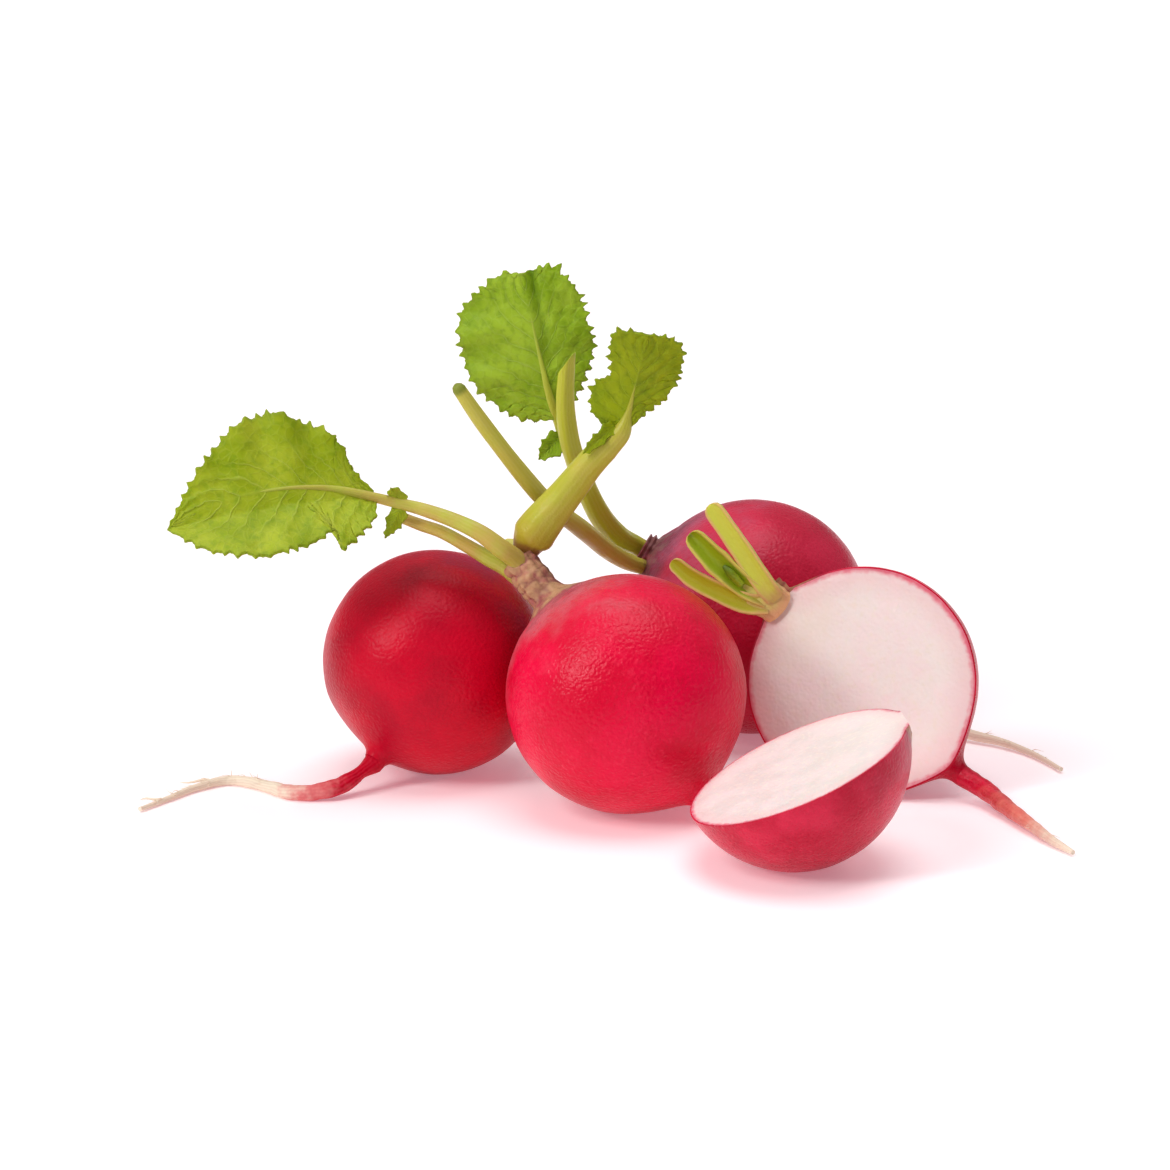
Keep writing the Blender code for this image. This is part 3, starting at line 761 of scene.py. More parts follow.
@dataclass(frozen=True)
class StalkFinish(Finish):
    """Smooth, ribbed, yellow-green stalk, brown or purple at its foot and dark where it was cut."""

    green: Colour = srgb(178, 190, 62)
    light: Colour = srgb(206, 208, 110)
    tan: Colour = srgb(190, 160, 84)
    tan_share: float = 0.15
    foot: Colour = srgb(150, 92, 70)
    foot_reach: tuple[float, float] = (6.0, 1.0)
    foot_wander: float = 1.6
    warm: Colour = srgb(182, 150, 36)
    warm_share: float = 0.0
    tip: Colour = srgb(110, 120, 40)
    tip_reach: float = 1.0
    inside: Colour = srgb(174, 196, 50)
    rim: Colour = srgb(206, 150, 100)

    def built(self) -> Material:
        """Builds the finish."""
        material, net, shader = new_finish(
            self.name, 0.42, Subsurface_Weight=0.18, Subsurface_Scale=0.0007,
            Subsurface_Radius=(0.8, 1.0, 0.25), Specular_IOR_Level=0.3, Coat_Roughness=0.3,
        )
        foot, tip, cut = net.mark("foot"), net.mark("tip"), net.mark("cut")
        fibres = net.group(EFFECTS.fibres(), Lines=15.0, Broken=0.7).outputs[0]
        mottle = net.group(EFFECTS.mottle(), Blotch=3.4, Speck=0.6, Pore=0.3)
        skin = net.mix(net.times(fibres, 0.15), self.green, self.light)
        patches = net.rise(net.noise(5.0), 0.30, 0.70, 0.25, 1.0)
        skin = net.mix(net.times(patches, self.tan_share), skin, self.tan)
        skin = net.mix(net.rise(cut, 0.12, 0.45, 0.0, 0.95), skin, self.inside)
        rim = net.times(net.rise(cut, 0.0, 0.03), net.rise(cut, 0.34, 0.12))
        skin = net.mix(net.times(rim, 0.8), skin, self.rim)
        ragged = net.strayed(foot, 1.6, self.foot_wander)
        skin = net.mix(net.rise(ragged, 8.0, 2.5, 0.0, self.warm_share), skin, self.warm)
        skin = net.mix(net.rise(ragged, *self.foot_reach, 0.0, 0.85), skin, self.foot)
        skin = net.mix(net.rise(tip, self.tip_reach, 0.0, 0.0, 0.8), skin, self.tip)
        net.feed(shader.inputs["Base Color"], skin)
        net.feed(shader.inputs["Roughness"], net.rise(mottle.outputs[0], 0.0, 1.0, 0.34, 0.50))
        net.feed(shader.inputs["Coat Weight"], net.rise(fibres, 0.0, 1.0, 0.0, 0.10))
        under = net.bump(fibres, 0.014)
        net.feed(shader.inputs["Normal"], net.bump(mottle.outputs[2], 0.02, under))
        return material


@dataclass(frozen=True)
class LeafFinish(Finish):
    """Soft, thin, yellow-green blade with a net of pale veins."""

    green: Colour = srgb(150, 176, 12)
    light: Colour = srgb(182, 200, 30)
    vein: Colour = srgb(205, 214, 96)
    shade: Colour = srgb(104, 138, 12)
    edge: Colour = srgb(120, 138, 28)
    veins: float = 7.0
    sweep: float = 0.32

    def built(self) -> Material:
        """Builds the finish."""
        material, net, shader = new_finish(
            self.name, 0.46, Subsurface_Weight=0.3, Subsurface_Scale=0.0006,
            Subsurface_Radius=(0.7, 1.0, 0.15), Specular_IOR_Level=0.14,
        )
        along, across = net.surface()
        out = net.times(net.math("ABSOLUTE", net.math("SUBTRACT", across, 0.5)), 2.0)
        swept = net.math("SUBTRACT", along, net.times(out, self.sweep))
        turn = net.strayed(net.times(swept, self.veins), 4.0, 0.22, 2.0)
        away = net.math("SUBTRACT", 0.5, net.math("PINGPONG", net.plus(turn, 0.5), 0.5))
        side_veins = net.times(net.rise(away, 0.10, 0.0), net.rise(out, 0.95, 0.2))
        cells = net.node("TexVoronoi", feature="DISTANCE_TO_EDGE")
        net.feed(cells.inputs["Vector"], net.place())
        cells.inputs["Scale"].default_value = 1.0 / (1.3 * MM)
        net_veins = net.rise(cells.outputs["Distance"], 0.12, 0.0, 0.0, 0.3)
        rib = net.times(net.rise(out, 0.05, 0.0), net.rise(along, 0.95, 0.3))
        mask = net.math("MAXIMUM", net.math("MAXIMUM", side_veins, net_veins), rib)
        blade = net.mix(net.rise(net.noise(5.5), 0.30, 0.70), self.green, self.light)
        hollows = net.times(net.rise(net.noise(1.2), 0.46, 0.70), 0.4)
        blade = net.mix(hollows, blade, self.shade)
        blade = net.mix(net.times(mask, 0.42), blade, self.vein)
        # Painted shade along the veins, where the blade dips into their grooves
        blade = net.mix(net.times(net.rise(away, 0.34, 0.12), 0.12), blade, self.shade)
        blade = net.mix(net.rise(out, 0.93, 1.0, 0.0, 0.6), blade, self.edge)
        # Painted shade in the blade's pressed fold
        blade = net.mix(net.mark("crease"), blade, self.shade)
        net.feed(shader.inputs["Base Color"], blade)
        net.feed(shader.inputs["Roughness"], net.rise(mask, 0.0, 1.0, 0.48, 0.36))
        under = net.bump(mask, 0.07)
        net.feed(shader.inputs["Normal"], net.bump(net.noise(0.6), 0.06, under))
        return material


def pointing(direction: Vector, centre: Vector) -> Matrix:
    """Stands a turned shape's +Z along a direction.

    Args:
        direction: where its crown looks.
        centre: its middle.

    Returns:
        The matrix that does so.
    """
    upright = direction.normalized()
    side = Vector((0.0, 1.0, 0.0)).cross(upright).normalized()
    other = upright.cross(side)
    return Matrix.Translation(centre) @ Matrix((side, other, upright)).transposed().to_4x4()


@dataclass
class Knife:
    """A flat cut, as a point on it and the direction of what falls away."""

    point: Vector
    away: Vector


@dataclass
class Root:
    """A swollen root: crown, belly and tail in one turned shape, with the tail laid along a line.

    knob holds the crown's radius and length, lean is how far the crown's top stands off the axis, rough how
    proud its scars are, pleat how deep the folds of its shoulder and ringed how much of its rings shows.
    tail_lean is how far the tail's neck stands off the axis, pinch how much thinner the tail is just past
    the neck, and seed makes each root's small unevenness its own.
    """

    name: str
    centre: Place
    radius: float
    crown: Place
    knob: tuple[float, float]
    finish: SkinFinish
    tail: tuple[Place, ...] = ()
    taper: float = 1.2
    lean: Place = (0.0, 0.0, 0.0)
    rough: float = 0.4
    pleat: float = 0.1
    ringed: float = 1.0
    tail_lean: Place = (0.0, 0.0, 0.0)
    pinch: float = 0.0
    seed: float = 0.0
    stand: Matrix = field(init=False)
    route: Route | None = field(init=False, default=None)

    def __post_init__(self) -> None:
        """Works out where the root stands and how its tail runs."""
        self.stand = pointing(Vector(self.crown), Vector(self.centre))
        if self.tail:
            start = self.stand @ Vector((0.0, 0.0, -self.radius - NECK_DROP)) + Vector(self.tail_lean)
            places = [start, *(Vector(p) for p in self.tail)]
            self.route = Route(places, self.stand.to_3x3() @ Vector((1.0, 0.0, 0.0)))

    def crown_rows(self) -> list[Vector]:
        """Outer side of the crown from its top to the belly's shoulder."""
        wide, tall = self.knob
        corners = [Vector((0.0, self.radius + tall, 0.0))]
        shares = ((1.0 + (a - 1.0) * self.ringed, h) for a, h in CROWN_SHARES)
        corners += [Vector((wide * a, self.radius + tall * h, 0.0)) for a, h in shares]
        angle = math.radians(SHOULDER_ANGLE)
        corners.append(Vector((self.radius * math.sin(angle), self.radius * math.cos(angle), 0.0)))
        return [Vector((max(p.x, 0.0), p.y)) for p in smooth_line(corners, CROWN_STEPS)[:-1]]

    def rows(self) -> list[Vector]:
        """The whole profile from the crown's top to the tail's tip, as (across, along the axis)."""
        found = self.crown_rows()
        for i in range(BELLY_STEPS + 1):
            angle = math.radians(SHOULDER_ANGLE + (FILLET_ANGLE - SHOULDER_ANGLE) * i / BELLY_STEPS)
            found.append(Vector((self.radius * math.sin(angle), self.radius * math.cos(angle))))
        angle = math.radians(FILLET_ANGLE)
        along = Vector((math.cos(angle), -math.sin(angle)))
        end = Vector((NECK_RADIUS, -self.radius - NECK_DROP))
        bend = (found[-1], found[-1] + FILLET_PULL * self.radius * along, end + Vector(NECK_PULL), end)
        found += [Vector(p[:2]) for p in interpolate_bezier(*bend, FILLET_STEPS + 1)[1:]]
        return found + self.tail_rows()

    def tail_rows(self) -> list[Vector]:
        """The tail laid out straight below the neck, or a blunt end where there is none."""
        neck = -self.radius - NECK_DROP
        if not self.route:
            return [Vector((0.0, neck - 0.5 * NECK_RADIUS))]
        rings = round(self.route.length / TAIL_RING)
        found = []
        for i in range(1, rings + 1):
            share = i / rings
            along = self.route.length * share
            thin = 1.0 - self.pinch * math.exp(-(((along - PINCH_PLACE) / PINCH_WIDTH) ** 2))
            found.append(Vector((self.tail_width(share, self.taper) * thin, neck - along)))
        return [*found, Vector((0.0, found[-1].y - TAIL_TIP_RADIUS))]

    @staticmethod
    def tail_width(share: float, taper: float) -> float:
        """Radius of a tail at a share of its length."""
        return NECK_RADIUS * (1.0 - share) ** taper + TAIL_TIP_RADIUS * share

    def spot(self, row: Vector, angle: float) -> Vector:
        """Where a point of the skin reads the root's unevenness."""
        return Vector((row.x * math.cos(angle), row.x * math.sin(angle), row.y + 50.0 * self.seed))

    def lump(self, row: Vector, angle: float) -> float:
        """How proud the crown's old leaf scars stand at a point: lumps with narrow creases between them.

        Args:
            row: the row of the profile.
            angle: the direction round the axis.

        Returns:
            The height, before it is scaled by rough.
        """
        spot = self.spot(row, angle)
        bent = 0.35 * noise.noise_vector(spot / 1.6)
        cell = Vector((spot.x / 2.6, spot.y / 2.6, spot.z / 1.5 + 7.0)) + bent
        return 1.4 * abs(noise.noise(cell)) ** 0.8 - 0.3

    def wide_at(self, row: Vector, angle: float) -> float:
        """How far the skin is from the axis at a row of the profile, with its unevenness.

        Args:
            row: the row, as (across, along the axis).
            angle: the direction round the axis.

        Returns:
            The distance.
        """
        wave = math.sin(2 * angle + 0.7) + 0.6 * math.sin(3 * angle + 2.1)
        wide = row.x * (1.0 + LUMPINESS * wave * min(row.x / self.radius, 1.0))
        spot = self.spot(row, angle)
        full = min(row.x / FULL_RELIEF, 1.0)
        belly = unevenness(spot, size=4.2, height=0.07) + unevenness(spot, size=1.3, height=0.022)
        crown = smooth_share(row.y, self.radius - 0.6, self.radius + 0.5)
        scars = self.rough * (self.lump(row, angle) + unevenness(spot, size=0.9, height=0.2))
        pleats = smooth_share(row.y, self.radius * 0.80, self.radius * 0.97)
        creases = self.pleat * math.sin(PLEATS * angle + unevenness(spot, size=5.0, height=3.0))
        tail = smooth_share(row.y, -self.radius - 1.0, -self.radius - NECK_DROP - 1.0)
        drawn = Vector((3 * spot.x, 3 * spot.y, spot.z))
        knots = unevenness(spot, size=1.5, height=0.16) + unevenness(drawn, size=1.0, height=0.05)
        relief = belly + crown * scars + pleats * creases + tail * knots * min(wide, 1.0)
        return max(wide + full * relief, 0.0)

    def carried(self, point: Vector) -> Vector:
        """Takes a point of the straight turned shape to its place, on the table or above it.

        Args:
            point: a point of the upright shape.

        Returns:
            Its place, in millimetres.
        """
        neck = -self.radius - NECK_DROP
        if self.route and point.z < neck:
            distance = min(neck - point.z, self.route.length)
            place, across, heading = self.route.frame(distance)
            share = distance / self.route.length
            place.z -= self.tail_width(share, SOLID_TAPER) - self.tail_width(share, self.taper)
            found = place + across * point.x + across.cross(-heading) * -point.y
        else:
            found = self.stand @ point
            found += Vector(self.lean) * smooth_share(point.z, self.radius - 0.8, self.radius + 2.5)
            found += Vector(self.tail_lean) * smooth_share(-point.z, LEAN_START * self.radius, -neck)
        return Vector((found.x, found.y, max(found.z, 0.0)))

    def skin_marks(self, row: Vector, angle: float) -> Marks:
        """Marks for the skin: how far it is from the crown, how far down the tail, and the crown's lumps.

        Args:
            row: the row of the profile.
            angle: the direction round the axis.

        Returns:
            The marks by name.
        """
        off = math.atan2(row.x, row.y) / math.pi
        foot = self.radius + 0.08 * self.knob[1]
        near = min(off, 0.09) if row.y > foot else off
        if row.y < -self.radius:
            near = 1.0
        return {"polar": near, "tail": max(0.0, -self.radius - row.y), "lump": self.lump(row, angle)}

    def build(self) -> Piece:
        """Makes the whole root as one closed piece."""
        rows = self.rows()
        bm = new_draft(SKIN_MARKS)

        def place(along: float, around: float) -> tuple[Vector, Marks]:
            """Place and marks of a point of the skin."""
            row = rows[round(along * (len(rows) - 1))]
            angle = 2 * math.pi * around
            wide = self.wide_at(row, angle)
            point = Vector((wide * math.cos(angle), wide * math.sin(angle), row.y))
            return self.carried(point), self.skin_marks(row, angle)

        drape(bm, len(rows) - 1, ROUND_STEPS, place)
        return made_piece(welded(bm), self.name + "_skin", self.finish.material())


@dataclass
class Hairs:
    """Fine side roots on a tail: thin tapered threads that start on it and bend away."""

    name: str
    route: Route
    reach: tuple[float, float]
    count: int
    long: tuple[float, float] = (1.0, 3.6)
    thick: float = 0.075
    forks: tuple[tuple[Place, ...], ...] = ()
    seed: int = 1
    rings: int = 7
    sides: int = 5

    def thread(self, bm: Draft, line: Route, thick: float) -> None:
        """Adds one thread.

        Args:
            bm: the draft that it is added to.
            line: the way that it runs.
            thick: its radius where it starts.
        """
        def place(along: float, around: float) -> tuple[Vector, Marks]:
            """Place and marks of a point of the thread."""
            middle, across, heading = line.frame(line.length * along)
            angle = 2 * math.pi * around
            wide = thick * (1.0 - HAIR_TAPER * along) * (0.0 if along in (0.0, 1.0) else 1.0)
            found = middle + (across * math.cos(angle) + across.cross(heading) * math.sin(angle)) * wide
            found.z = max(found.z, 0.0)
            return found, {"polar": 1.0, "tail": HAIR_MARK, "lump": 0.0}

        drape(bm, self.rings, self.sides, place)

    def build(self, finish: SkinFinish) -> Piece:
        """Makes all threads as one piece.

        Args:
            finish: the finish of the tail.

        Returns:
            The object.
        """
        draw = random.Random(self.seed)
        bm = new_draft(SKIN_MARKS)
        for _ in range(self.count):
            start, across, heading = self.route.frame(self.route.length * draw.uniform(*self.reach))
            turn = draw.uniform(0.0, 2 * math.pi)
            out = across * math.cos(turn) + across.cross(heading) * math.sin(turn)
            out.z = abs(out.z) * 0.7
            long = draw.uniform(*self.long)
            lead = heading * draw.uniform(-0.3, 1.3)
            bend = Vector((draw.uniform(-0.4, 0.4), draw.uniform(-0.4, 0.4), draw.uniform(-0.5, 0.1)))
            middle = start + (out * 0.5 + lead * 0.4) * long * 0.6
            end = start + (out + lead + bend) * long * 0.7
            self.thread(bm, Route([start, middle, end], Vector((0.3, 0.2, 1.0))), self.thick)
        for fork in self.forks:
            self.thread(bm, Route([Vector(p) for p in fork], Vector((0.0, 0.0, 1.0))), FORK_RADIUS)
        return made_piece(welded(bm), self.name, finish.material())


@dataclass
class CutRoot(Root):
    """A root cut lengthwise: a crimson skin, and the white flesh that stands a little proud of it.

    trim is how far from the middle the crown is cut off square, where it is; the tail end is then rounded.
    """

    knife: Knife = None
    flesh: FleshFinish = None
    trim: float | None = None
    skin_depth: float = 0.2

    def kept_rows(self, inset: float) -> list[Vector]:
        """The profile drawn in by the skin's depth, and cut square at its ends where they are trimmed."""
        rows = self.rows()
        found = []
        for before, row, after in zip([rows[0], *rows], rows, [*rows[1:], rows[-1]]):
            run = (after - before).normalized()
            found.append(Vector((max(row.x + run.y * inset, 0.0), row.y - run.x * inset)))
        if self.trim is None:
            return found
        reach = self.trim + (0.03 if inset else 0.0)
        inner = [row for row in found if -0.55 * self.radius < row.y < reach]
        wide = self.radius - inset
        start = math.acos(inner[-1].y / wide)
        turns = (start + (math.pi - start) * i / BELLY_STEPS for i in range(1, BELLY_STEPS + 1))
        rounded = [Vector((max(wide * math.sin(turn), 0.0), wide * math.cos(turn))) for turn in turns]
        return [Vector((inner[0].x * 0.985, reach)), *inner, *rounded]

    def loop(self, row: Vector, lift: float) -> list[tuple[Vector, float]]:
        """One closed ring of the cut root: round its skin and straight back across its face.

        Args:
            row: the row of the profile.
            lift: how far the face stands out of the knife's plane.

        Returns:
            Points of the straight turned shape, each with its share across the face, or 0 on the skin.
        """
        turn = self.stand.inverted()
        away = turn.to_3x3() @ self.knife.away
        point = turn @ self.knife.point
        level = math.hypot(away.x, away.y)
        middle = math.atan2(away.y, away.x)
        reach = away.dot(point) + lift - away.z * row.y
        wide = max(row.x, 0.001)
        gap = math.acos(min(max(reach / (wide * level), -1.0), 1.0))
        ring = []
        for i in range(ROUND_STEPS + 1):
            angle = middle + gap + (2 * math.pi - 2 * gap) * i / ROUND_STEPS
            across = self.wide_at(row, angle) if row.x > 0.01 else 0.0
            ring.append((Vector((across * math.cos(angle), across * math.sin(angle), row.y)), 0.0))
        start, end = ring[-1][0], ring[0][0]
        for i in range(1, FACE_STEPS + 1):
            share = 0.5 - 0.5 * math.cos(math.pi * i / FACE_STEPS)
            ring.append((start.lerp(end, share), min(share, 1.0 - share)))
        return ring

    def rim_distance(self, rows: Sequence[Vector], near: int, point: Vector) -> float:
        """Distance from a point of the face to the skin, read off the rows near it.

        Args:
            rows: the profile.
            near: the row that the point belongs to.
            point: the point, on the upright shape.

        Returns:
            The distance, in millimetres.
        """
        across = math.hypot(point.x, point.y)
        reach = range(max(near - RIM_ROWS, 0), min(near + RIM_ROWS + 1, len(rows)))
        return min(math.hypot(rows[i].x - across, rows[i].y - point.z) for i in reach)

    def solid(self, name: str, inset: float, lift: float, material: Material) -> Piece:
        """One closed body of the cut root.

        Args:
            name: the piece's name.
            inset: how far it lies inside the skin's outer side.
            lift: how far its face stands out of the knife's plane.
            material: its finish.

        Returns:
            The object.
        """
        rows = self.kept_rows(inset)
        if inset and self.trim is None:
            neck = -self.radius - NECK_DROP
            rows = [row for row in rows if neck - FLESH_TAIL < row.y < FLESH_CROWN * self.radius]
        rings = [self.loop(row, lift) for row in rows]
        for end, beside in ((0, 1), (-1, -2)):
            source = rings[end] if self.trim is not None else rings[beside]
            middle = sum((p for p, _ in source), Vector()) / len(source)
            if self.trim is None:
                middle.z = rows[end].y
            closed = [(middle, share) for _, share in source]
            if self.trim is None:
                rings[end] = closed
            elif end == 0:
                rings.insert(0, closed)
                rows.insert(0, rows[0])
            else:
                rings.append(closed)
                rows.append(rows[-1])
        bm = new_draft(FLESH_MARKS)
        columns = ROUND_STEPS + FACE_STEPS

        def place(along: float, around: float) -> tuple[Vector, Marks]:
            """Place and marks of a point of the skin or the face."""
            index = round(along * (len(rows) - 1))
            point, share = rings[index][round(around * columns)]
            marks = self.skin_marks(rows[index], math.atan2(point.y, point.x))
            marks["rim"] = self.rim_distance(rows, index, point) if share else 0.0
            marks["crown"] = math.hypot(point.x, point.y, self.radius - point.z)
            if share and inset:
                rim = marks["rim"]
                swell = SWELL * (1.0 - math.exp(-rim / SWELL_REACH))
                swell += unevenness(point, size=1.4, height=0.03)
                return self.carried(point) + self.knife.away * swell * min(1.0, rim), marks
            return self.carried(point), marks

        drape(bm, len(rows) - 1, columns, place)
        return made_piece(welded(bm), name, material)

    def build_cut(self) -> tuple[Piece, Piece]:
        """Makes the skin and the flesh."""
        skin = self.solid(self.name + "_skin", 0.0, -SKIN_BEHIND, self.finish.material())
        flesh = self.solid(self.name + "_flesh", self.skin_depth, 0.0, self.flesh.material())
        return skin, flesh


class StalkEnd(Enum):
    """How a stalk ends: cut blunt, rounded, or drawn out into a leaf's rib."""

    BLUNT = "blunt"
    ROUND = "round"
    RIB = "rib"


@dataclass
class Stalk:
    """A stalk along a smooth line, with its own radius at each of the places.

    groove is the depth of the channel on its upper side, as a share of its radius. pressed is the direction
    of a knife cut that leaves the stalk flat on that side, and trough how deep the flat side then sinks in.
    """

    name: str
    places: tuple[Place, ...]
    radii: tuple[float, ...]
    finish: StalkFinish
    end: StalkEnd = StalkEnd.BLUNT
    upper: Place = (0.0, 0.0, 1.0)
    groove: float = 0.22
    ridges: int = 9
    pressed: Vector | None = None
    trough: float = 0.2
    seed: float = 0.0
    sides: int = 36

    def width(self, angle: float, share: float) -> float:
        """Share of the radius at an angle from the upper side, with the channel and the fine ridges.

        Args:
            angle: the angle.
            share: how far along the stalk.

        Returns:
            The share.
        """
        turned = abs((angle + math.pi) % (2 * math.pi) - math.pi)
        channel = self.groove * math.exp(-((turned / CHANNEL_ANGLE) ** 2))
        ridge = RIDGE_SHARE * math.cos(self.ridges * angle)
        spot = Vector((math.cos(angle), self.seed, share * 7.0))
        return 1.0 - channel + ridge + unevenness(spot, size=1.0, height=0.05)

    def pour(self, bm: Draft) -> None:
        """Adds the stalk's tube to a draft that has the marks foot, tip and cut.

        Args:
            bm: the draft.
        """
        route = Route([Vector(p) for p in self.places], Vector(self.upper))
        closing = len(CAP_SHARES)
        rings = max(LEAST_RINGS, round(route.length / STALK_RING))
        rows = rings + 2 * closing
        knots = route.places[::ROUTE_STEPS]

        def radius_at(distance: float) -> float:
            """Radius at a distance along the line."""
            i, share = step_at(knots, distance)
            return self.radii[i] + (self.radii[i + 1] - self.radii[i]) * share

        def place(along: float, around: float) -> tuple[Vector, Marks]:
            """Place and marks of a point of the stalk."""
            row = round(along * rows)
            inner = min(max(row - closing, 0), rings)
            distance = route.length * inner / rings
            step = min(row, rows - row)
            cap = CAP_SHARES[step] if step < closing else 1.0
            middle, upper, heading = route.frame(distance)
            angle = 2 * math.pi * around
            side = heading.cross(upper)
            radius = radius_at(distance)
            wide = radius * self.width(angle, inner / rings) * cap
            off = upper * math.cos(angle) * wide + side * math.sin(angle) * wide
            hollow = 0.0
            if self.end is StalkEnd.ROUND and row > rings:
                hollow = (1.0 - cap**2) ** 0.5 * radius * ROUND_END
            elif self.end is StalkEnd.BLUNT and row > rings + closing:
                hollow = -BLUNT_DISH * (1.0 - cap) * radius
            cut = 0.0
            if self.pressed:
                full = max(radius * cap, 0.001)
                proud = off.dot(self.pressed)
                beside = (off - self.pressed * proud).length / full
                sunk = FLAT_SHARE - self.trough * max(0.0, 1.0 - (beside / TROUGH_SHARE) ** 2)
                if proud > FLAT_SHARE * full:
                    off -= self.pressed * (proud - sunk * full)
                    cut = max(LEAST_CUT, 1.0 - beside)
            if self.end is StalkEnd.BLUNT and row > rings + closing - 1 and cap < 1.0:
                cut = 1.0
            tip = NO_TIP if self.pressed else route.length - distance
            return middle + off + heading * hollow, {"foot": distance, "tip": tip, "cut": cut}

        drape(bm, rows, self.sides, place)

    def build(self) -> Piece:
        """Makes the stalk as a piece of its own."""
        bm = new_draft(STALK_MARKS)
        self.pour(bm)
        return made_piece(welded(bm), self.name + "_peel", self.finish.material())


@dataclass
class Crease:
    """A fold pressed into a blade, from one point of its plane to another."""

    start: tuple[float, float]
    end: tuple[float, float]
    depth: float
    width: float

    def share(self, along: float, away: float) -> float:
        """How deep the fold is at a point, from 0 to 1.

        Args:
            along: place along the rib.
            away: place away from it, with its sign.

        Returns:
            The share.
        """
        start, end = Vector(self.start), Vector(self.end)
        run = end - start
        spot = Vector((along, away)) - start
        part = min(max(spot.dot(run) / run.length_squared, 0.0), 1.0)
        off = (spot - run * part).length / self.width
        return math.exp(-off * off) * (1.0 - 0.6 * part)


@dataclass
class Blade:
    """A leaf blade: a toothed outline either side of its rib, folded, arched, waved and pillowed.

    Outline points are (along the rib, away from it), from the base to the tip.
    """

    base: Place
    tip: Place
    across: Place
    left: Outline
    right: Outline
    teeth: int
    finish: LeafFinish
    tooth: float = 0.9
    fold: float = 0.25
    arch: float = 1.5
    wave: float = 0.45
    pillow: float = 0.17
    creases: tuple[Crease, ...] = ()
    samples: int = 15
    columns: int = 22
    sway: float = 0.0
    seed: float = 0.0

    def __post_init__(self) -> None:
        """Works out the blade's own directions and its even outlines."""
        self.foot = Vector(self.base)
        line = Vector(self.tip) - self.foot
        self.length = line.length
        self.along = line.normalized()
        sideways = Vector(self.across)
        self.sideways = (sideways - self.along * sideways.dot(self.along)).normalized()
        self.normal = self.along.cross(self.sideways)
        self.sides = [self.even(self.left), self.even(self.right)]

    @staticmethod
    def even(outline: Outline) -> tuple[list[Vector], list[float]]:
        """The outline as a smooth line, with the distance along it at each point.

        Args:
            outline: its chosen points.

        Returns:
            The line and the distances.
        """
        points = smooth_line([Vector((a, b, 0.0)) for a, b in outline], EDGE_STEPS)
        return points, distances(points)

    @staticmethod
    def saw(turn: float, peak: float = 0.4) -> float:
        """One tooth for each whole turn, leaning forwards, from 0 to 1."""
        phase = turn % 1.0
        return min(phase / peak, (1.0 - phase) / (1.0 - peak))

    def edge(self, side: int, share: float) -> Vector:
        """The toothed edge.

        Args:
            side: 0 for the left edge and 1 for the right.
            share: how far along it.

        Returns:
            The point, in the blade's plane.
        """
        points, places = self.sides[side]
        i, part = step_at(places, share * places[-1])
        point = points[i].lerp(points[i + 1], part)
        run = (points[i + 1] - points[i]).normalized()
        out = Vector((-run.y, run.x, 0.0)) * (1 if side == 0 else -1)
        fade = min(1.0, share / 0.125) * min(1.0, (1.0 - share) / 0.1)
        turn = share * self.teeth
        turn += 0.45 * noise.noise(Vector((turn * 0.6, 3.0 * side, self.seed + 4.0)))
        uneven = 1.1 * noise.noise(Vector((turn * 0.55, 7.0 * side, self.seed)))
        fine = self.tooth * 0.42 * (self.saw(turn * 2.0 + 0.55) - 0.45)
        return point + out * (self.tooth * (1.0 + uneven) * (self.saw(turn) - 0.4) + fine) * fade

    def lift(self, along: float, away: float, share: float, out: float) -> float:
        """How far the blade stands off its plane.

        Args:
            along: place along the rib.
            away: place away from it, with its sign.
            share: which of the rays from the rib to the edge the point is on, from base to tip.
            out: how far out on that ray.

        Returns:
            The height.
        """
        part = along / self.length
        edgeward = abs(away) / 10.0
        ripple = math.sin(2 * math.pi * along / 6.5 + (0.8 if away > 0 else 2.9))
        turn = (share - self.finish.sweep * out) * self.finish.veins
        bulge = abs(math.sin(math.pi * turn)) ** 0.6
        room = smooth_share(out, 0.0, 0.25) * smooth_share(out, 1.05, 0.7)
        crinkle = unevenness(Vector((along / 1.9, away / 1.9, self.seed)), size=1.0, height=0.10)
        low = sum(crease.depth * crease.share(along, away) for crease in self.creases)
        return (
            -self.fold * abs(away)
            - self.arch * 4 * part * (1 - part)
            + self.wave * ripple * edgeward**1.5
            + self.pillow * (bulge - 0.6) * room
            + crinkle * smooth_share(out, 0.0, 0.3)
            - low
        )

    def spot(self, along: float, away: float, height: float) -> Vector:
        """A place from its coordinates on the blade."""
        return self.foot + self.along * along + self.sideways * away + self.normal * height

    def rib(self, share: float) -> Vector:
        """A place on the rib, where the leaf's stalk runs on into the blade.

        Args:
            share: how far along the rib.

        Returns:
            The place.
        """
        bend = 4 * share * (1 - share)
        away = self.sway * bend
        return self.spot(self.length * share, away, -self.arch * bend - self.fold * abs(away))

    def build(self, name: str) -> Piece:
        """Makes the blade as a thin closed sheet.

        Args:
            name: the piece's name.

        Returns:
            The object.
        """
        bm = new_draft(("crease",))

        def place(along: float, across: float) -> tuple[Vector, Marks]:
            """Place and marks of a point of the blade."""
            out = 2.0 * across - 1.0
            edge = self.edge(0 if out > 0 else 1, along)
            reach = RIB_REACH * along
            rib = Vector((self.length * reach, self.sway * 4 * reach * (1 - reach), 0.0))
            flat = rib.lerp(edge, abs(out))
            height = self.lift(flat.x, flat.y, along, abs(out))
            # How much shade is painted in the folds, carried by the crease mark
            dark = sum(crease.share(flat.x, flat.y) ** 2 for crease in self.creases)
            return self.spot(flat.x, flat.y, height), {"crease": min(dark, 1.0)}

        drape(bm, self.teeth * self.samples, 2 * self.columns, place)
        piece = made_piece(welded(bm), name, self.finish.material())
        thickness = piece.modifiers.new("thickness", "SOLIDIFY")
        thickness.thickness = BLADE_THICKNESS * MM
        thickness.offset = 0.0
        return piece


